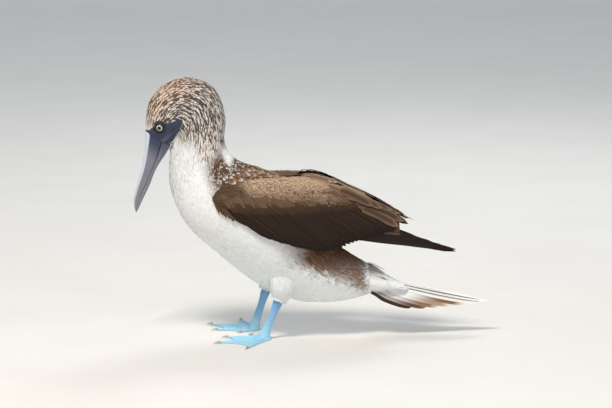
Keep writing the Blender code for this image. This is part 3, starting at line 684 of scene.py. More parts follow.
def lid_form(side):
    """A torus round the line of sight, swollen unevenly and wrinkled across.

    It is thick in three places round the eye, and has 31 wrinkles.
    """
    aim, level, upright = sight_frame(side)
    around, section = np.meshgrid(*(np.linspace(0, TURN, n, endpoint=False) for n in LID_GRID), indexing="ij")
    thick = LID_THICK + 0.12 * np.sin(3 * around) + 0.05 * np.sin(31 * around) * np.cos(section)
    away = level * np.cos(around)[..., None] + upright * np.sin(around)[..., None]
    lift = math.sqrt(EYE_RADIUS**2 - LID_INNER**2) - 0.3
    centre = sided(EYE_CENTRE, side) + aim * lift
    points = centre + away * (LID_RADIUS + thick * np.cos(section))[..., None]
    points = points + aim * (thick * np.sin(section))[..., None]
    index = np.arange(points[..., 0].size).reshape(LID_GRID)
    a, b = np.roll(index, -1, axis=0), np.roll(index, -1, axis=1)
    faces = np.stack([index, b, np.roll(a, -1, axis=1), a], axis=-1).reshape(-1, 4)
    return points, faces


def eye_material():
    """Black pupil, pale yellow iris with a dark rim and radial flecks, under a wet surface."""
    made, tree, shader = new_material("wet_eye", 0.08, Specular_IOR_Level=0.05,
                                      Coat_Weight=0.6, Coat_Roughness=0.02)
    angle = add_node(tree, "ShaderNodeAttribute", attribute_name="Gaze")
    spot = add_node(tree, "ShaderNodeTexCoord")
    fleck = noise(tree, spot.outputs["Object"], 1500.0, 3.0, 0.5)
    uneven = computed(tree, "MULTIPLY_ADD", {0: fleck, 2: angle.outputs["Fac"]}, {1: 1.6})
    ramp = add_node(tree, "ShaderNodeValToRGB", {"Fac": computed(tree, "DIVIDE", {0: uneven}, {1: 60.0})})
    stops = [(0.0, "020202"), (0.335, "030303"), (0.355, "6e7052"), (0.39, "c9cc9e"), (0.52, "d2d3a8"),
             (0.58, "7f8262"), (0.62, "2a2c28"), (0.66, "10131a")]
    while len(ramp.color_ramp.elements) < len(stops):
        ramp.color_ramp.elements.new(0.5)
    for element, (position, code) in zip(ramp.color_ramp.elements, stops):
        element.position = position
        element.color = (*linear(code), 1.0)
    tree.links.new(ramp.outputs["Color"], shader.inputs["Base Color"])
    add_bump(tree, shader, fleck, 0.00002, 0.3)
    return made


SIDES = {"left": -1, "right": 1}
wet_eye = eye_material()
for name, side in SIDES.items():
    ball, gaze = eye_ball(side)
    add_mesh("eyeball_" + name, ball, tube_faces(*EYE_GRID), wet_eye, "eye_gloss", ("eye_" + name,),
             numbers={"Gaze": gaze})
lid_material = mottled_material("dark_lid_skin", "131927", "28324a", 500.0, 0.45, 0.00015, cells=1600.0)
for name, side in SIDES.items():
    lid_points, lid_faces = lid_form(side)
    add_mesh("lid_" + name, lid_points, lid_faces, lid_material, "plumage_head")

# %% [markdown]
# ## The bill
#
# The bill is a long cone of grey-blue horn. A groove on each side sets off the culmen, the ridge
# along its top, and the cutting edges meet in a long gently curved line that droops at the tip.
# Each half is lofted between its edge and the mouth line, with the groove cut into the section.

# %% Bill
# From base to tip: upper edge x, z, mouth line x, z, lower edge x, z, and half width
BILL = np.array([
    (-225.3, 281.7, -203.8, 268.7, -192.0, 261.7, 12.0),
    (-226.0, 268.0, -208.5, 253.5, -198.5, 250.5, 10.4),
    (-227.2, 254.0, -212.8, 241.0, -206.0, 239.5, 8.8),
    (-229.4, 238.0, -218.4, 227.5, -213.5, 226.0, 7.4),
    (-232.8, 224.0, -224.2, 213.5, -219.0, 211.5, 6.2),
    (-238.0, 205.0, -231.2, 198.5, -226.0, 196.5, 4.9),
    (-241.4, 190.0, -236.0, 186.0, -232.0, 184.0, 3.6),
    (-241.4, 179.5, -238.0, 177.2, -235.9, 175.8, 2.2),
    (-239.6, 172.0, -239.0, 171.6, -238.5, 171.2, 0.9),
])
UPPER_EDGE, LOWER_EDGE = 0, 4
GROOVE_AT = 0.72
MOUTH_GAP = 0.12


def bill_half(edge_column, width, groove):
    """Mouth line + (edge - mouth) sin^0.8 t, and half width times cos^0.7 t, with a groove pressed in.

    The groove is a narrow bell round t = GROOVE_AT on each side, as deep as its share of the width.
    """
    at, t = np.meshgrid(np.linspace(-0.06, len(BILL) - 1, 120), np.linspace(0, math.pi, 48), indexing="ij")
    row = spline(BILL, at)
    mouth = np.stack([row[..., 2], 0 * at, row[..., 3]], axis=-1)
    edge = np.stack([row[..., edge_column], 0 * at, row[..., edge_column + 1]], axis=-1)
    up = edge - mouth
    clear = unit(up) * MOUTH_GAP
    side = np.sign(np.cos(t)) * np.abs(np.cos(t)) ** 0.7
    bell = sum(np.exp(-(((t - where) / 0.10) ** 2)) for where in (GROOVE_AT, math.pi - GROOVE_AT))
    fade = 1 - smooth(5.5, 7.5, at)
    pinch = 1 - groove * bell * fade
    points = mouth + clear + (up - clear) * (np.sin(t) ** 0.8)[..., None]
    points[..., 1] += row[..., 6] * width * side * pinch
    return points, t, at


def bill_colours(t, at, upper):
    """Blue-grey, paler on the culmen, lilac-brown between, darker near the base of the sides."""
    codes = ("8a8592", "dde6f2", "9a929c") if upper else ("8f8e9b", "7f8295", "96919b")
    side_code, ridge_code, tip_code = codes
    ridge = smooth(0.68, 0.80, t) * smooth(0.68, 0.80, math.pi - t)
    colour = mix(linear(side_code) + 0 * t[..., None], linear(ridge_code), ridge)
    colour = mix(colour, linear(tip_code), smooth(3.5, 7.5, at) * 0.6)
    dark = (1 - smooth(0.25, 2.4, at)) * (1 - ridge)
    return mix(colour, linear("36405a"), dark * (1.0 if upper else 0.7))


horn = mottled_material("grey_blue_horn", "c6c6ce", "ffffff", 420.0, 0.36, 0.00015,
                        attribute="Horn", upright=0.09)
for name, column, width, groove in (("upper", UPPER_EDGE, 1.0, 0.13), ("lower", LOWER_EDGE, 0.9, 0.0)):
    points, t, at = bill_half(column, width, groove)
    add_mesh("beak_" + name, points, tube_faces(*at.shape), horn, "bill_horn", ("bill_" + name,),
             colours={"Horn": bill_colours(t, at, column == UPPER_EDGE)})

# %% [markdown]
# ## One feather, many times
#
# A small feather is a thin blade that narrows to its tip, arched across, with its root sunk in the
# skin. All feathers of a tract are computed together: rows of points run from each root over the
# surface, and a flat four- or six-sided ring is set at each. Roots are spread by keeping, of many
# random places, one in each small box of space, which is as even and as irregular as real plumage.

# %% Feathers
SMALL_RING = np.array([(-1.0, 0.0), (0.0, 1.0), (1.0, 0.0), (0.0, -1.0)])
LARGE_RING = np.array([(-1.0, 0.0), (-0.8, 0.6), (0.0, 1.0), (0.8, 0.6), (1.0, 0.0), (0.0, -1.0)])
PATCH = 0.003


def scatter(surface, low, high, spacing, tries, seed):
    """Even random places on a surface: one for each box of the size that spacing gives there.

    Sizes are rounded to quarter millimetres, and a box's number is its size and its three counts.
    """
    draw = np.random.default_rng(seed)
    a, b = draw.uniform(low, high, (tries, 2)).T
    quarters = np.round(spacing(a) * 4)
    cell = np.floor(surface(a, b) / (quarters / 4)[:, None]).astype(np.int64) + 5000
    key = quarters.astype(np.int64)
    for axis in range(3):
        key = key * 20000 + cell[:, axis]
    _, keep = np.unique(key, return_index=True)
    return a[keep], b[keep], draw


def same_spacing(distance):
    """A spacing for scatter that is the same everywhere."""
    return lambda a: np.full(a.shape, distance)


def feather_rings(centre, normal, half_width, thick, camber, ring, softness=0.0):
    """Rings of points along each feather: across, and up by thickness minus camber times across^2.

    With them come the normals to shade by: up from the vane, leaning outwards a little at its edges,
    down under it, and mixed by softness with the normal of the surface below.
    """
    along = unit(np.gradient(centre, axis=1))
    across = unit(np.cross(normal, along))
    up = unit(np.cross(along, across))
    u, h = ring[:, 0], ring[:, 1]
    half = half_width[..., None]
    rise = np.asarray(thick)[..., None] * h - np.asarray(camber)[..., None] * half * u**2
    centre, across, up = centre[:, :, None], across[:, :, None], up[:, :, None]
    points = centre + across * (half * u)[..., None] + up * rise[..., None]
    leaning = unit(up + across * (0.22 * u)[:, None]) * np.where(h < 0, -1.0, 1.0)[:, None]
    below = np.broadcast_to(normal[:, :, None], points.shape)
    return points, unit(leaning * (1 - softness) + below * softness)


def feather_faces(count, rows, sides):
    """The quads of one closed feather, repeated."""
    one = tube_faces(rows, sides)
    return (np.arange(count)[:, None, None] * rows * sides + one).reshape(-1, 4)


def feather_outline(share, point):
    """Half width along a feather: it widens from the quill, then rounds off to a narrow end."""
    taper = np.clip((1 - share) / point, 0, 1)
    return (0.08 + 0.92 * np.sqrt(1 - (1 - taper) ** 2)) * (0.45 + 0.55 * smooth(0, 0.35, share))


def paint(centre, edge, tip, ring, share, tip_from):
    """Colours of every point: centre to edge across the vane, and to the tip's colour along it."""
    across = np.clip((np.abs(ring[:, 0]) - 0.5) / 0.5, 0, 1)
    colour = centre[:, None, None] + (edge - centre)[:, None, None] * across[None, None, :, None]
    ended = smooth(tip_from, 1.0, share)[None, :, None, None]
    return colour + (tip[:, None, None] - colour) * ended


def vane_maps(count, share, ring, place):
    """The across and along map of each feather, and its small patch on the unwrap of the skin."""
    u = np.broadcast_to(0.5 + 0.5 * ring[None, None, :, 0], (count, len(share), len(ring)))
    v = np.broadcast_to(share[None, :, None], u.shape)
    vane = np.stack([u, v], axis=-1)
    patch = place[:, None, None] + PATCH * (vane - 0.5)
    return {"Vane": vane, "OFBake": patch}


def add_coat(name, rings, normals, share, ring, place, colours, material, slot_name):
    """A piece of many small feathers, with their maps and the colours of their points."""
    count = len(rings)
    return add_mesh(name, rings, feather_faces(count, len(share), len(ring)), material, slot_name,
                    uvs=vane_maps(count, share, ring, place), colours={"Plumage": colours}, normals=normals)


def lay_feathers(surface, a, b, aside, length, half_width, lift, share, ring=SMALL_RING, thick=0.22,
                 camber=0.25, point=0.6, sink=0.3, floor_a=5.0, softness=0.75, flat=0.7):
    """Feathers that run from their roots against a, turned aside by an angle.

    Each rises from sink under the surface to lift over it as share^flat: a low power lays it flatter.
    """
    _, along_a, along_b, _ = frame_on(surface, a, b)
    per_a = np.maximum(np.linalg.norm(along_a, axis=-1), floor_a)
    per_b = np.maximum(np.linalg.norm(along_b, axis=-1), floor_a)
    run = length[:, None] * share
    row_a = a[:, None] - run * (np.cos(aside) / per_a)[:, None]
    row_b = b[:, None] + run * (np.sin(aside) / per_b)[:, None]
    at, _, _, out = frame_on(surface, row_a, row_b)
    height = -sink + (lift[:, None] + sink) * share**flat
    centre = at + out * height[..., None]
    width = half_width[:, None] * feather_outline(share, point)
    thin = np.full(width.shape, thick) * (1 - 0.6 * share)
    return feather_rings(centre, out, width, thin, camber + 0 * width, ring, softness)


# %% [markdown]
# ## Plumage of the head, neck and body
#
# The feathers of the head are narrow points two millimetres wide, the smallest by the bill. They
# lengthen down the neck, and on the breast and belly they are broad and soft. All of them lie
# towards the tail, each a little askew.

# %% Body plumage
BODY_SHARE = np.array([0.0, 0.3, 0.6, 0.85, 1.0])
FLANK, BREAST, UPPER_NECK, CROWN = 3.0, 5.4, 9.0, 12.6


def feather_spacing(s):
    """Distance between roots in millimetres, from the rump to the bill's base."""
    return np.interp(s, [0, 4, 5.6, 6.6, 7.4, 8.6, 10, 12, 14, 16],
                     [3.5, 4.1, 3.7, 2.9, 2.2, 1.95, 1.6, 1.45, 1.3, 1.1])


STRAND_WIDTH = 2.0
STRAND_STATIONS = 0.36
STRAND_ROWS, STRAND_COLUMNS = 80, 400
rings_s, rings_phi = np.meshgrid(np.linspace(0, BILL_BASE, 60), np.linspace(0, TURN, 90), indexing="ij")
GIRTH = np.linalg.norm(np.diff(body_surface(rings_s, rings_phi), axis=1), axis=-1).sum(axis=1)


def strand_chance(s, phi, draw):
    """Chance shared by the feathers of a strand, two millimetres wide; strands alternate dark and pale.

    Strand (i, j) has j = floor(s / length) and i = floor(phi * girth / width), each row set off anew,
    with waves added so that its ends and edges aren't straight.
    """
    wave = 0.4 * np.sin(7 * phi) + 0.3 * np.sin(23 * phi + 2 * s)
    row = np.floor(s / STRAND_STATIONS + wave).astype(int) + 2
    around = np.round(np.interp(row * STRAND_STATIONS, rings_s[:, 0], GIRTH) / STRAND_WIDTH)
    set_off = draw.uniform(0, 9, STRAND_ROWS)[row]
    column = np.floor(phi / TURN * around + set_off + 0.3 * np.sin(5 * s)).astype(int)
    away = draw.uniform(0.05, 1.0, (STRAND_ROWS, STRAND_COLUMNS))[row, column % STRAND_COLUMNS]
    return 0.5 + 0.5 * np.where(column % 2 > 0, 1.0, -1.0) * away


def plumage(name, low_s, high_s, seed, slot_name):
    """All contour feathers between two stations as one piece.

    On the head and upper neck they are narrow points; on the body they are broad and lie flatter.
    """
    s, phi, draw = scatter(body_surface, (low_s, 0.0), (high_s, TURN), feather_spacing, 60000, seed)
    at = body_surface(s, phi)
    keep = face_distance(at) > -0.7
    s, phi, at = s[keep], phi[keep], at[keep]
    count = len(s)
    chance = draw.uniform(0, 1, count)
    marks = body_markings(s, phi, at, chance)
    chance += (0.8 * (strand_chance(s, phi, draw) - chance)) * smooth(0, 0.4, marks["streak"])
    gap = feather_spacing(s)
    narrow = np.maximum(smooth(7.2, 8.2, s), 0.75 * marks["rump"])
    length = gap * (3.4 + 1.6 * narrow) * draw.uniform(0.85, 1.25, count) * (0.55 + 0.45 * smooth(0, 1.5, s))
    half_width = gap * (1.05 - 0.70 * narrow) * draw.uniform(0.85, 1.15, count)
    lift = coat_depth(s, at) * draw.uniform(0.85 - 0.45 * narrow, 1.0, count)
    camber = (0.05 + 0.15 * narrow)[:, None]
    softness, flat, point = (0.75, 0.7, 0.9) if low_s >= UPPER_NECK else (0.9, 0.4, 0.6)
    rings, normals = lay_feathers(skin_point, s, phi, draw.normal(0, 0.14, count), length, half_width, lift,
                                  BODY_SHARE, thick=0.14, camber=camber, softness=softness, flat=flat,
                                  point=point)
    centre, edge, tip = body_colours(s, phi, at, chance)
    shade = draw.uniform(0.94, 1.04, (count, 1))
    tip_from = 0.75 if FLANK < low_s < UPPER_NECK else 0.55
    colours = paint(centre * shade, edge * shade, tip * shade, SMALL_RING, BODY_SHARE, tip_from)
    return add_coat(name, rings, normals, BODY_SHARE, SMALL_RING, on_unwrap(s, phi), colours,
                    small_plumage, slot_name)


plumage("forehead_feathers", CROWN, 15.97, 11, "plumage_head")
plumage("crown_feathers", HEAD_BASE, CROWN, 12, "plumage_head")
plumage("upper_neck_feathers", UPPER_NECK, HEAD_BASE, 13, "plumage_head")
plumage("lower_neck_feathers", NECK_BASE, UPPER_NECK, 14, "plumage_head")
plumage("breast_feathers", BREAST, NECK_BASE, 15, "plumage_white")
plumage("flank_feathers", FLANK, BREAST, 16, "plumage_white")
plumage("rump_feathers", 0.0, FLANK, 17, "plumage_white")

# Rows of the mantle's large feathers: first and last station, share of pi from the back, number
MANTLE_ROWS = ((6.7, 3.9, 0.31, 12), (6.6, 3.7, 0.25, 12), (6.4, 3.5, 0.19, 12), (6.2, 3.4, 0.12, 11))


def mantle_scapulars(name, seed):
    """Rows of larger brown feathers with pale rims over the shoulders, like crescents."""
    draw = np.random.default_rng(seed)
    s, phi = [], []
    for first_s, last_s, angle, number in MANTLE_ROWS:
        for side in (1, -1):
            s.append(np.linspace(first_s, last_s, number) + draw.uniform(-0.05, 0.05, number))
            phi.append(np.full(number, side * angle * math.pi) + draw.uniform(-0.03, 0.03, number))
    s, phi = np.concatenate(s), np.concatenate(phi) % TURN
    count = len(s)
    share = np.linspace(0, 1, 9)
    aside, length = draw.normal(0, 0.1, count), draw.uniform(17, 22, count)
    half_width, lift = draw.uniform(4.4, 5.4, count), draw.uniform(1.0, 1.6, count)
    rings, normals = lay_feathers(body_surface, s, phi, aside, length, half_width, lift, share,
                                  ring=LARGE_RING, thick=0.25, camber=0.14, point=0.45, sink=2.5,
                                  softness=0.2)
    tone = draw.uniform(0.85, 1.15, (count, 1))
    middle = np.tile(linear("583d2c"), (count, 1)) * tone
    crescent = smooth(0.2, 0.24, from_back(phi))
    rim = np.tile(linear("8a6d57"), (count, 1)) * tone
    white_share = 0.75 * np.maximum(crescent, smooth(5.6, 6.6, s))
    tip = mix(np.tile(linear("b79d85"), (count, 1)), WHITE, white_share)
    colours = paint(middle, rim, tip, LARGE_RING, share, 0.8)
    add_coat(name, rings, normals, share, LARGE_RING, on_unwrap(s, phi), colours,
             wing_plumage, "plumage_wing")


mantle_scapulars("mantle_scapulars", 18)


def thigh_plumage(name, leg, seed):
    """Soft white feathers down the thigh, standing a little off round its lower end."""
    surface = thigh_surface(leg)

    def bed(rest, phi):
        """The thigh's skin, from its lower end upwards, since feathers run against the first number."""
        at, _, _, out = frame_on(surface, 1 - rest, phi)
        return at - out * THIGH_COAT

    share, phi, draw = scatter(surface, (0.2, 0.0), (0.97, TURN), same_spacing(2.25), 18000, seed)
    count = len(share)
    length = draw.uniform(9.0, 13.0, count) * (1 - 0.4 * smooth(0.8, 1.0, share))
    aside, half_width = draw.normal(0, 0.2, count), draw.uniform(1.3, 2.0, count)
    lift = draw.uniform(1.1, 1.6, count)
    rings, normals = lay_feathers(bed, 1 - share, phi, aside, length, half_width, lift, BODY_SHARE,
                                  thick=0.12, camber=0.04, floor_a=20.0, softness=0.92, flat=0.4)
    white = np.tile(WHITE, (count, 1)) * draw.uniform(0.9, 1.03, (count, 1))
    colours = paint(white, white * 0.95, white, SMALL_RING, BODY_SHARE, 0.6)
    place = np.column_stack([0.02 + 0.44 * phi / TURN, 0.02 + 0.2 * share])
    add_coat(name, rings, normals, BODY_SHARE, SMALL_RING, place, colours, small_plumage, "plumage_white")


thigh_plumage("thigh_feathers_left", LEGS["left"], 21)
thigh_plumage("thigh_feathers_right", LEGS["right"], 22)

# %% [markdown]
# ## The wings
#
# A folded wing shows its feathers in tiers: scapulars along the top, small coverts like scales over
# the arm, greater coverts below them, then the dark secondaries, and the primaries that run back to
# the tip under the tertials. All lie on one curved surface, a quarter ellipse from the wing's top
# line to its lower edge. Each feather runs from its root to its tip on that surface in its own layer.

# %% Wing surface
# Stations: x, z of the top and bottom line, and how far out the surface lies at each
WING = np.array([
    (-137.0, 201.0, 191.0, 50.0, 53.0),
    (-123.0, 210.0, 175.0, 44.0, 59.0),
    (-101.0, 214.0, 161.0, 38.0, 64.0),
    (-71.0, 217.5, 147.0, 34.0, 66.5),
    (-39.0, 218.5, 139.0, 28.0, 67.0),
    (-18.0, 219.0, 133.0, 23.0, 65.5),
    (4.0, 218.0, 129.5, 17.5, 62.0),
    (23.0, 211.5, 128.5, 14.0, 57.0),
    (50.0, 199.0, 133.0, 12.0, 49.0),
    (78.0, 185.0, 137.0, 11.0, 40.0),
    (105.0, 170.5, 135.5, 10.0, 31.0),
    (126.0, 156.5, 132.0, 9.5, 24.0),
    (196.0, 122.0, 114.0, 9.0, 11.0),
])
# Arm under its small coverts: x, first and last angle in degrees, outer rise, inner depth
ARM = np.array([
    (-137.5, 22.0, 74.0, 0.5, 3.0),
    (-134.0, 8.0, 82.0, 3.4, 10.0),
    (-124.0, 0.0, 86.0, 4.6, 16.0),
    (-101.0, -5.0, 86.0, 5.0, 18.0),
    (-71.0, -7.0, 85.0, 5.0, 18.0),
    (-39.0, -7.0, 84.0, 5.0, 17.0),
    (-18.0, -5.0, 80.0, 4.8, 14.0),
    (4.0, 0.0, 74.0, 4.6, 8.0),
    (23.0, 2.0, 66.0, 4.2, 5.0),
    (46.0, 6.0, 54.0, 3.2, 3.4),
    (62.0, 14.0, 40.0, 0.8, 1.0),
])
PROUD_ANGLE = 52.0


def wing_place(x, z):
    """The angle round the wing at which its surface passes through x, z in side view."""
    row = by_x(WING, x)
    top, bottom = row[..., 0], row[..., 1]
    return np.arccos(np.clip(1 - (top - z) / (top - bottom), -0.95, 1.0))


def wing_surface(x, angle):
    """y = near + (far - near) sin angle, z = top - (top - bottom)(1 - cos angle)."""
    row = by_x(WING, x)
    top, bottom, near, far = (row[..., k] for k in range(4))
    y = near + (far - near) * np.sin(angle)
    return np.stack([x + 0 * top, y, top - (top - bottom) * (1 - np.cos(angle))], axis=-1)


def wing_frame(x, angle):
    """Points and outward normals of the wing surface."""
    at, along_x, along_angle, _ = frame_on(wing_surface, x, angle)
    return at, unit(np.cross(along_x, along_angle))


def flat_lens(share):
    """A flat-topped swelling between two edges: 1 - |2 share - 1|^4."""
    return 1 - np.abs(2 * share - 1) ** 4


def arm_rise(x, degrees):
    """How far the arm's outer side stands off the surface: a lens, proud only above PROUD_ANGLE."""
    row = by_x(ARM, x)
    first, last, rise = row[..., 0], row[..., 1], row[..., 2]
    share = np.clip((degrees - first) / np.maximum(last - first, 1), 0, 1)
    proud = np.clip((PROUD_ANGLE + 8 - degrees) / 16 + np.clip((-105 - x) / 20, 0, 1), 0, 1)
    return (rise * proud - 0.6 * (1 - proud)) * flat_lens(share)


def arm_form(side):
    """The arm as a closed lens, a millimetre inside the solid one."""
    share, number = np.meshgrid(np.linspace(0, 1, 33), np.linspace(0, len(ARM) - 1, 60))
    row = spline(ARM, number)
    x, degrees = row[..., 0], row[..., 1] + (row[..., 2] - row[..., 1]) * share
    at, out = wing_frame(x, np.radians(degrees))
    outer = at + out * (arm_rise(x, degrees) - 1.2)[..., None]
    inner = at - out * (1.2 + (row[..., 4] - 0.8) * flat_lens(share))[..., None]
    return closed_tube(sided(np.concatenate([outer, inner[:, ::-1]], axis=1), side))


def blade_form(side):
    """The vanes' hidden inner parts as one thin dark blade under the flight feathers."""
    x, share = np.meshgrid(np.linspace(-112, 118, 60), np.linspace(0, 1, 17), indexing="ij")
    first = np.interp(x, [-112, -60, 20, 118], [40, 20, 8, 10])
    last = np.interp(x, [-112, -71, 118], [78, 85, 80])
    at, out = wing_frame(x, np.radians(first + (last - first) * share))
    return closed_tube(sided(np.concatenate([at - out * 0.5, (at - out * 1.6)[:, ::-1]], axis=1), side))


# %% Wing feathers
VANE_SHARE = np.linspace(0, 1, 14) ** 0.9
VANE_THICK = 0.3
ROOT_DEPTH = 2.5
RISEN_AT = 0.35


def even(first, last, count, draw, uneven=1.0):
    """Points in even steps from first to last, each a little off its place."""
    return np.linspace(first, last, count) + draw.uniform(-uneven, uneven, (count, len(first)))


def wing_rows(side, root, tip, half_width, lift, tilt, bow, point, droop):
    """Wing feathers from roots to tips in side view, bowed up, each at its own height in its layer.

    The height grows from ROOT_DEPTH under the surface to lift, and falls by droop towards the tip.
    """
    share = VANE_SHARE
    x = root[:, None, 0] + (tip - root)[:, None, 0] * share
    z = root[:, None, 1] + (tip - root)[:, None, 1] * share
    reach = np.hypot(*(tip - root).T)[:, None]
    z = z + bow * reach * 4 * share * (1 - share)
    at, out = wing_frame(x, wing_place(x, z))
    height = lift[:, None] - (lift[:, None] + ROOT_DEPTH) * (1 - np.clip(share / RISEN_AT, 0, 1)) ** 1.5
    height = height - droop * smooth(0.45, 1.0, share)
    centre = at + out * height[..., None]
    width = half_width * feather_outline(share, point)[None] * np.ones(x.shape)
    along = unit(np.gradient(centre, axis=1))
    across = unit(np.cross(out, along))
    normal = unit(out - across * tilt * np.sign(across[..., 2:3]))
    thick = np.full(width.shape, VANE_THICK) * (1 - 0.5 * share)
    rings, normals = feather_rings(centre, normal, width, thick, np.full(width.shape, 0.12), LARGE_RING, 0.15)
    return sided(rings, side), sided(normals, side)


def strip_maps(number, share, row):
    """The across and along map, and a strip of the unwrap for each large feather, in root order."""
    place = np.column_stack([(np.arange(number) + 0.5) / number, np.zeros(number)])
    vane = vane_maps(number, share, LARGE_RING, place)["Vane"]
    strip = place[:, None, None] + (vane - (0.5, 0.0)) * (0.8 / number, 0.15) + (0.0, 0.02 + 0.16 * row)
    return {"Vane": vane, "OFBake": strip}


def tones(code, number, draw, spread=0.12):
    """One colour for each feather, a little lighter or darker."""
    return np.tile(linear(code), (number, 1)) * draw.uniform(1 - spread, 1 + spread, (number, 1))


def tier(side, roots, tips, half_width, lift, tilt, bow, point, codes, tip_from, draw,
         spread=0.12, droop=0.0):
    """One tier of wing feathers: rings and normals, tones of centre, edge and tip, where the tip starts."""
    rings = wing_rows(side, roots, tips, half_width, lift, tilt, bow, point, droop)
    colours = [tones(code, len(roots), draw, own) for code, own in zip(codes, (spread, spread, 0.12))]
    return rings, colours, tip_from


def feather_piece(name, tiers, material, slot_name, hides=()):
    """Tiers of wing feathers as one piece; each feather is a strip on the map, set by its root."""
    forms, colours, vane, bake, shading = [], [], [], [], []
    for row, ((rings, normals), (centre, edge, tip), tip_from) in enumerate(tiers):
        number, rows, sides = rings.shape[:3]
        shading.append(normals.reshape(-1, 3))
        forms.append((rings, feather_faces(number, rows, sides)))
        colours.append(paint(centre, edge, tip, LARGE_RING, VANE_SHARE, tip_from).reshape(-1, 3))
        maps = strip_maps(number, VANE_SHARE, row)
        vane.append(maps["Vane"].reshape(-1, 2))
        bake.append(maps["OFBake"].reshape(-1, 2))
    points, faces = join_forms(forms)
    return add_mesh(name, points, faces, material, slot_name, hides,
                    uvs={"Vane": np.concatenate(vane), "OFBake": np.concatenate(bake)},
                    colours={"Plumage": np.concatenate(colours)}, normals=np.concatenate(shading))


# Places in side view, x and z: where the secondaries end, and the tips of the six tertials
SECONDARY_ENDS = [(-62, 146.5), (-40, 138), (-18, 131), (4, 125.5), (23, 125), (39, 130), (55, 135),
                  (71, 138.5), (87, 142), (100, 145), (112, 148)]
TERTIAL_TIPS = [(115.0, 151.0), (122.0, 156.0), (118.0, 163.0), (106.0, 168.5), (92.0, 173.0), (78.0, 177.0)]
# Scapulars: first and last root, first and last tip, height and number
SCAPULARS = (((10.0, 208.0), (40.0, 204.0), (44.0, 196.0), (84.0, 181.0), 5.2, 6),
             ((-20.0, 219.0), (34.0, 212.0), (8.0, 216.5), (68.0, 193.0), 5.6, 9))
PRIMARIES, SECONDARIES, TERTIALS, GREATER_COVERTS, MEDIAN_COVERTS = 9, 30, 6, 34, 50
# The right wing's tips lie further back and lower than the left's
RIGHT_TIPS = np.array([18.0, -5.0])


def flight_feathers(name, side, draw):
    """Primaries, secondaries, tertials, greater and median coverts, from the lowest tier to the top."""
    fold = RIGHT_TIPS if side > 0 else np.zeros(2)
    tips = even((197.0, 116.0), (118.0, 143.0), PRIMARIES, draw, 0.6) + fold * (0, 1)
    roots = even((2.0, 158.0), (40.0, 172.0), PRIMARIES, draw, 0.5)
    lift = np.linspace(-7.0, -0.6, PRIMARIES)
    primaries = tier(side, roots, tips, 6.3, lift, 0.0, -0.012, 0.6, ("20160f", "372a21", "1e140e"), 0.9,
                     draw)

    ends = spline(SECONDARY_ENDS, np.linspace(0, len(SECONDARY_ENDS) - 1, SECONDARIES))
    roots = even((-124.0, 188.0), (44.0, 187.0), SECONDARIES, draw)
    lift = 1.6 + draw.uniform(0, 0.25, SECONDARIES)
    tips = ends + draw.uniform(-0.6, 0.6, ends.shape)
    secondaries = tier(side, roots, tips, 6.4, lift, 0.14, 0.03, 0.22, ("21160f", "32241b", "1a120c"), 0.8,
                       draw, spread=0.2)

    tips = np.array(TERTIAL_TIPS) + fold
    roots = even((44.0, 186.0), (20.0, 204.0), TERTIALS, draw)
    lift = 3.2 + 0.75 * np.arange(TERTIALS)
    tertials = tier(side, roots, tips, 6.4, lift, 0.12, 0.03, 0.35, ("3e2c20", "7b6250", "806754"), 0.85,
                    draw, spread=0.2)

    roots = even((-130.0, 200.0), (30.0, 203.0), GREATER_COVERTS, draw, 2.0)
    tips = even((-98.0, 175.0), (80.0, 177.0), GREATER_COVERTS, draw, 1.5)
    lift = 3.4 + draw.uniform(-0.2, 0.2, GREATER_COVERTS)
    greater = tier(side, roots, tips, 4.8, lift, 0.14, 0.02, 0.4, ("42301f", "4f3c2e", "36271e"), 0.5,
                   draw, droop=1.3)

    roots = even((-130.0, 206.0), (30.0, 208.0), MEDIAN_COVERTS, draw, 2.4)
    tips = even((-112.0, 185.0), (72.0, 186.0), MEDIAN_COVERTS, draw, 1.8)
    lift = 4.5 + draw.uniform(-0.2, 0.2, MEDIAN_COVERTS)
    median = tier(side, roots, tips, 3.2, lift, 0.12, 0.02, 0.5, ("5c4636", "755d4a", "5f4b3b"), 0.5,
                  draw, droop=1.3)
    feather_piece(name + "_flight_feathers", (primaries, secondaries, tertials, greater, median),
                  flight_plumage, "plumage_wing", (name,))


def scapulars(name, side, draw):
    """Two rows of long soft feathers that cover where the wing's top meets the back."""
    tiers = []
    for first_root, last_root, first_tip, last_tip, height, number in SCAPULARS:
        roots = even(first_root, last_root, number, draw, 1.6)
        tips = even(first_tip, last_tip, number, draw, 1.6)
        tiers.append(tier(side, roots, tips, 5.6, np.full(number, height), 0.12, 0.02, 0.4,
                          ("644b39", "9d836b", "b59c84"), 0.8, draw, spread=0.15))
    feather_piece(name + "_scapulars", tiers, wing_plumage, "plumage_wing")


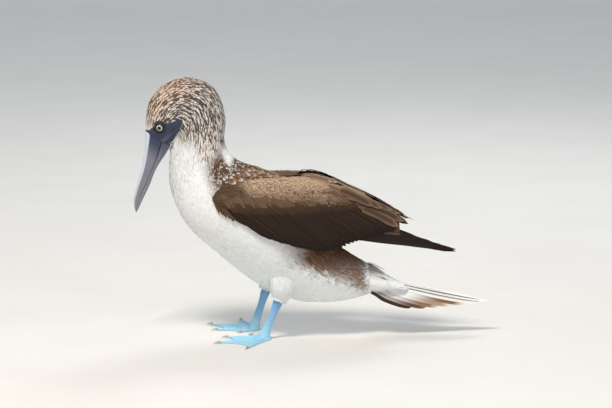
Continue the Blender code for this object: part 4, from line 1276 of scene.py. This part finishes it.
def small_coverts(name, side, seed):
    """Rows of small round coverts like scales over the arm, browner and darker at the front edge."""

    def bed(x, angle):
        """The arm's outer side, a little under its surface."""
        at, out = wing_frame(x, angle)
        return at + out * (arm_rise(x, np.degrees(angle)) - 0.9)[..., None]

    x, angle, draw = scatter(wing_surface, (-136.0, 0.02), (60.0, 1.42), same_spacing(2.75), 40000, seed)
    degrees = np.degrees(angle)
    last = np.interp(x, [-136, -122, -106, -92, -60, 20, 60], [80, 84, 82, 70, 50, 46, 36])
    keep = degrees < last
    x, angle, degrees = x[keep], angle[keep], degrees[keep]
    count = len(x)
    length = draw.uniform(7.0, 9.5, count)
    lift = np.full(count, 1.3) * draw.uniform(0.8, 1.2, count)
    aside = draw.normal(0.45, 0.12, count)
    share = BODY_SHARE
    _, along_x, along_angle, _ = frame_on(bed, x, angle)
    run = length[:, None] * share
    row_x = x[:, None] + run * (np.cos(aside) / np.linalg.norm(along_x, axis=-1))[:, None]
    row_angle = angle[:, None] + run * (np.sin(aside) / np.linalg.norm(along_angle, axis=-1))[:, None]
    _, out = wing_frame(row_x, row_angle)
    centre = bed(row_x, row_angle) + out * (-0.5 + (lift[:, None] + 0.5) * share**0.7)[..., None]
    width = draw.uniform(1.7, 2.2, count)[:, None] * feather_outline(share, 0.6)
    rings, normals = feather_rings(centre, out, width, np.full(width.shape, 0.16), np.full(width.shape, 0.12),
                                   SMALL_RING, 0.4)
    front, behind = np.clip((-90 - x) / 26, 0, 1), np.clip((x - 5) / 60, 0, 1)
    dark = np.clip(1.3 * front + np.clip((degrees - 22) / 34, 0, 1) + behind, 0, 1)
    tone = draw.uniform(0.75, 1.2, (count, 1))
    middle = mix(np.tile(COVERT_BROWN * 0.9, (count, 1)), DARK_BROWN * 1.1, dark) * tone
    rim = mix(np.tile(COVERT_EDGE * 1.05, (count, 1)), COVERT_BROWN * 0.6, dark) * tone
    colours = paint(middle, rim, rim, SMALL_RING, share, 0.7)
    place = np.column_stack([(x + 140) / 210, angle / 1.6])
    add_coat(name + "_coverts", sided(rings, side), sided(normals, side), share, SMALL_RING, place, colours,
             wing_plumage, "plumage_wing")


arm_material = mottled_material("brown_down_under_the_wing", "3d2d22", "6b5241", 260.0, 0.85, 0.0002)
for name, side in SIDES.items():
    wing_draw = np.random.default_rng(50 + side)
    flight_feathers("wing_" + name, side, wing_draw)
    scapulars("wing_" + name, side, wing_draw)
    small_coverts("wing_" + name, side, 60 + side)
    points, faces = join_forms([arm_form(side), blade_form(side)])
    add_mesh(f"wing_{name}_arm", points, faces, arm_material, "plumage_wing")

# %% [markdown]
# ## The tail
#
# The tail is a wedge of fourteen stiff feathers. The middle pair is longest and nearly white, and
# the pairs outside it are browner and shorter, each under the one before. White coverts hide their
# roots above and below.

# %% Tail
TAIL_ROOT = (76.0, 81.0)
TAIL_TIP = (242.5, 43.5)
TAIL_SPREAD = 21.0
TAIL_DROP = (19.0, 62.0)
TAIL_ROUND = 0.35
# For each pair from the middle outwards: where the tip lies, and how much the vane bends down at its sides
TAIL_TIP_X = (242.5, 231.0, 212.0, 192.0, 174.0, 156.0, 137.0)
TAIL_CAMBER = (0.34, 0.28, 0.20, 0.13, 0.10, 0.08, 0.08)
VANE_START_X = 82.0
LAYER = 1.15


def tail_surface(x, spread):
    """A tent about the tail's top line: z falls by drop times (hypot(spread, r) - r)."""
    share = (x - TAIL_ROOT[0]) / (TAIL_TIP[0] - TAIL_ROOT[0])
    top = TAIL_ROOT[1] + (TAIL_TIP[1] - TAIL_ROOT[1]) * share
    drop = TAIL_DROP[0] + (TAIL_DROP[1] - TAIL_DROP[0]) * share
    return np.stack([x + 0 * spread, spread * TAIL_SPREAD * (1 + 0.4 * share),
                     top - drop * (np.hypot(spread, TAIL_ROUND) - TAIL_ROUND)], axis=-1)


def tail_frame(x, spread):
    """Points and upward normals of the tail surface."""
    at, along_x, across, _ = frame_on(tail_surface, x, spread)
    return at, unit(np.cross(along_x, across))


# Tail feathers from the middle pair outwards: centre, edge, tip, and how white the root is
TAIL_COLOURS = (("f1ede7", "f6f5f2", "f4f2ee", 1.0), ("e9e1d6", "f4f1ec", "f2efe9", 1.0),
                ("6b4c38", "8f7159", "efe8de", 1.0), ("a3826b", "b59a84", "f0e9e1", 1.0),
                ("7b5c48", "9d7f68", "d9c8b8", 0.7), ("5c4233", "6e5242", "8d7360", 0.35),
                ("2e2018", "46332a", "3b2a20", 0.0))


def rectrices(name):
    """All fourteen tail feathers as one piece, in the colours of their pairs."""
    draw = np.random.default_rng(70)
    share = np.linspace(0, 1, 22) ** 0.9
    pair, side = np.repeat(np.arange(7), 2), np.tile((-1.0, 1.0), 7)
    tip = np.array(TAIL_TIP_X)[pair] - draw.uniform(0, 1.5, 14)
    x = VANE_START_X + (tip - VANE_START_X)[:, None] * share
    spread = (side * (0.06 + 0.92 * pair / 6))[:, None] + 0 * x
    at, out = tail_frame(x, spread)
    inset = LAYER * (pair + np.where(side > 0, 0.5, 0.0))
    width = 8.3 * feather_outline(share, 0.5)[None] * np.ones(x.shape)
    thick = np.full(x.shape, VANE_THICK) * (1 - 0.5 * share)
    camber = np.array(TAIL_CAMBER)[pair][:, None] * np.ones(x.shape)
    laid = at - out * inset[:, None, None]
    rings, normals = feather_rings(laid, out, width, thick, camber, LARGE_RING, 0.1)
    codes = [row[:3] for row in TAIL_COLOURS]
    centre, edge, end = (np.array([linear(code) for code in column])[pair] for column in zip(*codes))
    root_white = np.array([row[3] for row in TAIL_COLOURS])[pair]
    colours = paint(centre, edge, end, LARGE_RING, share, 0.86)
    whitened = root_white[:, None] * (1 - smooth(0.35, 0.75, share))
    colours = mix(colours, WHITE, whitened[:, :, None] * np.ones(colours.shape[:3]))
    return add_mesh(name, rings, feather_faces(14, 22, 6), flight_plumage, "plumage_tail", ("tail",),
                    uvs=strip_maps(14, share, 0), colours={"Plumage": colours}, normals=normals)


# Rings of the tail's root: how far back and up from the rump's end ring, and shares of its width and height
TAIL_BED = np.array([
    (0.0, 0.0, 0.94, 0.94), (14.0, -3.0, 0.98, 0.74), (30.0, -8.0, 0.90, 0.46), (46.0, -12.0, 0.68, 0.24),
    (60.0, -15.0, 0.30, 0.08),
])


def tail_bed(step, phi):
    """The root of the tail: the rump's end ring, moved back and flattened in steps."""
    first = body_surface(0 * phi, phi)
    centre = body_surface(np.zeros(64), np.linspace(0, TURN, 64, endpoint=False)).mean(axis=0)
    row = spline(TAIL_BED, step)
    grown = np.stack([np.ones(phi.shape), row[..., 2], row[..., 3]], axis=-1)
    moved = np.stack([row[..., 0], 0 * phi, row[..., 1]], axis=-1)
    return centre + (first - centre) * grown + moved


def tail_coverts(seed):
    """Long white coverts over and under the roots of the tail feathers, running back from the rump."""

    def backwards(rest, phi):
        """The tail's root with its steps counted down, because feathers are laid towards lower numbers."""
        return tail_bed(-rest, phi)

    step, phi, draw = scatter(tail_bed, (-0.1, 0.0), (2.7, TURN), same_spacing(2.6), 30000, seed)
    count = len(step)
    share = BODY_SHARE
    length = draw.uniform(17, 25, count) * (1 - 0.12 * step)
    side = from_back(phi)
    tuft = (draw.uniform(0, 1, count) > 0.9) * (step < 0.5) * (side < 0.45)
    lift = draw.uniform(0.4, 1.4, count) + 0.6 * (1 - smooth(0, 1, step)) + 3.5 * tuft
    rings, normals = lay_feathers(backwards, -step, phi, draw.normal(0, 0.08, count), length,
                                  draw.uniform(1.8, 2.8, count), lift, share,
                                  thick=0.14, camber=0.08, point=0.5, sink=0.6, softness=0.8, flat=0.5)
    brown = (draw.uniform(0, 1, count) < 1.0 - step) * (1 - smooth(0.25, 0.5, side))
    middle = mix(np.tile(WHITE, (count, 1)), RUMP_BROWN, 0.85 * brown)
    rim = mix(middle, WHITE, 0.6)
    place = np.column_stack([phi / TURN, 0.70 + 0.09 * step])
    colours = paint(middle, rim, rim, SMALL_RING, share, 0.6)
    add_coat("tail_coverts", rings, normals, share, SMALL_RING, place, colours, small_plumage, "plumage_tail")


steps, turns = np.meshgrid(np.linspace(0, len(TAIL_BED) - 1, 30), np.linspace(0, TURN, 64, endpoint=False),
                           indexing="ij")
tail_bed_material = mottled_material("white_down_of_the_tail_root", "d9d6d0", "f2f0ec", 300.0, 0.85, 0.0002)
add_mesh("tail_root", *closed_tube(tail_bed(steps, turns)), tail_bed_material, "plumage_tail")
rectrices("tail_feathers")
tail_coverts(72)

# %% [markdown]
# ## Legs and feet
#
# Shank, ankle, toes and web are one scaled skin. Closed forms for each are joined by remeshing them
# on a fine lattice, which melts the joins as skin does, and the sole is pressed flat on the floor.

# %% Legs
# Toes: number, angle outwards from straight ahead in degrees, length and half width
TOES = (("1", -55.0, 28.0, 2.6), ("2", -16.0, 52.0, 3.6), ("3", 17.0, 69.0, 4.0), ("4", 60.0, 66.0, 3.8))
TOE_HEIGHT = 5.4
# Shank: share of the way from knee to ankle, half depth and half width
SHANK = np.array([(0.0, 6.6, 4.9), (0.15, 6.6, 4.9), (0.4, 5.2, 3.8), (0.75, 5.2, 3.8), (1.0, 6.2, 5.2)])
# Rings of the heel: height, half depth, half width, and x from the ankle
HEEL_RINGS = ((5.0, 8.6, 7.2, -2.6), (1.6, 9.6, 8.2, -3.4), (-1.0, 8.4, 7.0, -3.6))
WEB_REACH, WEB_HOLLOW, WEB_HALF_THICK = 0.96, 0.16, 1.5
LATTICE = 0.7


def leg_ring(centre, axis, fore, wide):
    """An ellipse square to an axis in the x, z plane: fore is its half depth, wide its half width."""
    axis = unit(np.asarray(axis, float))
    ahead = np.cross(axis, (0.0, 1.0, 0.0))
    turn = np.linspace(0, TURN, 40, endpoint=False)[:, None]
    return np.asarray(centre) + ahead * fore * np.cos(turn) + np.array([0.0, wide, 0.0]) * np.sin(turn)


def toe_way(angle, side):
    """Straight ahead is -X, and outwards is the side's own."""
    turn = math.radians(angle)
    return np.array([-math.cos(turn), side * math.sin(turn), 0.0])


def heel_point(leg):
    """The place on the floor under the ankle."""
    ankle = leg_points(leg)[2]
    return np.array([ankle[0], ankle[1], 0.0])


def shank_form(leg):
    """The shank down to the ankle, deeper than wide, with a swollen joint at the foot."""
    _, knee, ankle = leg_points(leg)
    down = unit(ankle - knee)
    reach = np.linalg.norm(ankle - knee)
    shares = np.linspace(-0.1, 1.0, 26)
    rings = [leg_ring(knee + down * reach * share, down, fore, wide)
             for share, (fore, wide) in zip(shares, by_x(SHANK, shares))]
    rings.append(leg_ring(ankle + down * 2.2, unit(down + (0, 0, -0.5)), 7.4, 6.0))
    for z, fore, wide, shift in HEEL_RINGS:
        rings.append(leg_ring(heel_point(leg) + (shift, 0, z), (0, 0, -1), fore, wide))
    return closed_tube(rings)


def toe_form(heel, way, length, wide):
    """A toe: a rounded ridge with swollen joints that narrows and sinks towards its end."""
    square = np.array([-way[1], way[0], 0.0])
    share = np.linspace(0, 1, 36)
    swell = np.interp(share, [0, 0.28, 0.36, 0.44, 0.62, 0.70, 0.78, 0.92, 1.0],
                      [1.0, 0.86, 1.0, 0.84, 0.78, 0.88, 0.72, 0.66, 0.5])
    turn = np.linspace(0, TURN, 24, endpoint=False)[:, None]
    tall = (TOE_HEIGHT - 0.4) * (0.55 + 0.45 * swell) * (1 - 0.3 * share)
    rings = [heel + way * length * t + square * wide * w * np.sin(turn) + np.array([0, 0, h]) * np.cos(turn)
             for t, w, h in zip(share, swell, tall)]
    return closed_tube(rings)


def web_form(leg, heel):
    """The web as a plate between the toes, its rim hollowed between their ends by sin^0.7."""
    side = leg["side"]
    ways = [toe_way(angle + leg["turn"], side) * length for _, angle, length, _ in TOES]
    rim = [heel + np.array([6.0, side * -3.0, 0.0])]
    for k, way in enumerate(ways):
        rim.append(heel + way * WEB_REACH)
        if k < len(ways) - 1:
            for part in np.linspace(0, 1, 12)[1:-1]:
                hollow = WEB_REACH - WEB_HOLLOW * math.sin(math.pi * part) ** 0.7
                rim.append(heel + (way * (1 - part) + ways[k + 1] * part) * hollow)
    rim.append(heel + np.array([7.0, side * 4.0, 0.0]))
    rim = np.array(rim)
    return closed_tube([rim - (0, 0, WEB_HALF_THICK), rim + (0, 0, WEB_HALF_THICK)])


def make_leg(name, leg):
    """One skin for shank, ankle, toes and web, melted together on a lattice."""
    heel = heel_point(leg)
    pieces = [shank_form(leg), web_form(leg, heel)]
    pieces += [toe_form(heel, toe_way(angle + leg["turn"], leg["side"]), length, wide)
               for _, angle, length, wide in TOES]
    points, faces = join_forms(pieces)
    made = add_mesh("leg_skin_" + name, points, faces, foot_material, "foot_blue",
                    ("shank_" + name, "foot_" + name))
    remesh = made.modifiers.new("melt", "REMESH")
    remesh.mode = "VOXEL"
    remesh.voxel_size = LATTICE * MM
    soften = made.modifiers.new("soften", "SMOOTH")
    soften.factor = 0.5
    soften.iterations = 6
    bpy.context.view_layer.update()
    melted = bpy.data.meshes.new_from_object(made.evaluated_get(bpy.context.evaluated_depsgraph_get()))
    made.modifiers.clear()
    made.data = melted
    at = np.empty(len(melted.vertices) * 3)
    melted.vertices.foreach_get("co", at)
    at = at.reshape(-1, 3)
    at[:, 2] = np.maximum(at[:, 2], 0.0)
    melted.vertices.foreach_set("co", at.ravel())
    # Painted light and shade: toes and web are painted pale as if lit, and the shank above darker and bluer
    # as if shaded
    up = smooth(0.004, 0.045, at[:, 2])[:, None]
    lit_and_shaded_blue = linear("d4f4ff") * (1 - up) + linear("a9caee") * up
    layer = melted.attributes.new("Tint", "FLOAT_COLOR", "POINT")
    layer.data.foreach_set("color", np.column_stack([lit_and_shaded_blue, np.ones(len(at))]).ravel())
    melted.shade_smooth()
    melted.update()
    print(f"leg_skin_{name}: {2 * len(melted.polygons):,} triangles after melting")


def claw_form(heel, way, length, short):
    """A claw: rings that shrink along an arc to a blunt point."""
    square = np.array([-way[1], way[0], 0.0])
    turn = np.linspace(0, TURN, 20, endpoint=False)[:, None]
    rings = []
    for share in np.linspace(0, 1, 16):
        thin = (1 - share) ** 0.8 + 0.12
        centre = heel + way * (length + 10.0 * short * share)
        centre[2] = 0.35 + 1.9 * thin + 0.5 * math.sin(math.pi * share)
        upright = np.array([0, 0, 1.75 * thin])
        rings.append(centre + upright * np.cos(turn) + square * 1.5 * thin * np.sin(turn))
    return closed_tube(rings)


# Its colour is multiplied by the leg's painted light and shade, pale at the floor and deeper up the shank
foot_material = mottled_material("scaled_blue_foot_skin", "a2d8f4", "eafaff", 60.0, 0.45, 0.0003,
                                 attribute="Tint", cells=620.0)
claw_material = mottled_material("pale_grey_claw_horn", "9a9c96", "c9cbc4", 260.0, 0.4, 0.00008)
for name, leg in LEGS.items():
    make_leg(name, leg)
    for toe, angle, length, _ in TOES:
        way = toe_way(angle + leg["turn"], leg["side"])
        points, faces = claw_form(heel_point(leg), way, length, 0.75 if toe == "1" else 1.0)
        add_mesh(f"claw_horn_{name}_{toe}", points, faces, claw_material, "claw_horn",
                 (f"claw_{name}_{toe}",))

# %% [markdown]
# ## Floor, light and camera
#
# The bird stands on a plain pale floor under soft studio light, with the key light high on its
# face side. The floor bends up into a wall behind it. The camera has a long lens and looks at the
# bird's left side from a little above.

# %% Stage
FLOOR_REACH, WALL_START, WALL_BEND, WALL_TOP = 9000.0, 4800.0, 1500.0, 7000.0
floor_material = mottled_material("pale_studio_floor", "d9d8d5", "e4e3e0", 6.0, 0.7, 0.0001)
turn = np.linspace(0, math.pi / 2, 24)
profile_y = np.concatenate([[-FLOOR_REACH], WALL_START + WALL_BEND * np.sin(turn), [WALL_START + WALL_BEND]])
profile_z = np.concatenate([[0.0], WALL_BEND * (1 - np.cos(turn)), [WALL_TOP]]) - 0.2
floor_x = np.array([[-FLOOR_REACH], [FLOOR_REACH]])
sweep = np.stack(np.broadcast_arrays(floor_x, profile_y, profile_z), axis=-1)
floor_mesh = bpy.data.meshes.new("floor")
floor_mesh.from_pydata((sweep.reshape(-1, 3) * MM).tolist(), [], grid_faces(2, len(profile_y)).tolist())
floor_mesh.shade_smooth()
floor_mesh.materials.append(floor_material)
floor = bpy.data.objects.new("floor", floor_mesh)
bpy.context.scene.collection.objects.link(floor)

world = bpy.data.worlds.new("studio")
bpy.context.scene.world = world
world.use_nodes = True
world.node_tree.nodes["Background"].inputs["Color"].default_value = (0.80, 0.86, 0.92, 1.0)
world.node_tree.nodes["Background"].inputs["Strength"].default_value = 0.47


def area_light(name, place, target, size, power, code):
    """A square soft light at a place, turned to a target, both in metres."""
    lamp = bpy.data.lights.new(name, "AREA")
    lamp.size, lamp.energy = size, power
    lamp.color = linear(code)
    made = bpy.data.objects.new(name, lamp)
    made.location = place
    aim = np.subtract(target, place)
    tilt, heading = math.atan2(np.hypot(aim[0], aim[1]), -aim[2]), math.atan2(aim[1], aim[0])
    made.rotation_euler = (tilt, 0.0, heading - math.pi / 2)
    bpy.context.scene.collection.objects.link(made)


area_light("key", (-0.8, -1.2, 2.4), (0, 0, 0.18), 0.7, 62.0, "fff6ea")
area_light("fill", (1.4, -1.8, 0.9), (0, 0, 0.15), 1.6, 8.0, "eef4ff")
area_light("rim", (0.6, 1.6, 1.8), (0, 0, 0.2), 0.8, 16.0, "ffffff")
area_light("backdrop", (0, 3.0, 3.6), (0, 6.2, 0.8), 4.0, 45.0, "f4f8ff")

CAMERA_AZIMUTH, CAMERA_ELEVATION, CAMERA_DISTANCE = math.radians(-4.0), math.radians(9.0), 4.0
CAMERA_TARGET = np.array([-0.008, 0.0, 0.180])
lens = bpy.data.cameras.new("camera")
lens.lens = 172.9
lens.sensor_width = 36.0
camera = bpy.data.objects.new("camera", lens)
camera.location = CAMERA_TARGET + CAMERA_DISTANCE * np.array([
    math.sin(CAMERA_AZIMUTH) * math.cos(CAMERA_ELEVATION),
    -math.cos(CAMERA_AZIMUTH) * math.cos(CAMERA_ELEVATION),
    math.sin(CAMERA_ELEVATION),
])
camera.rotation_euler = (math.pi / 2 - CAMERA_ELEVATION, 0.0, CAMERA_AZIMUTH)
bpy.context.scene.collection.objects.link(camera)
bpy.context.scene.camera = camera
bpy.context.scene.view_settings.view_transform = "Standard"
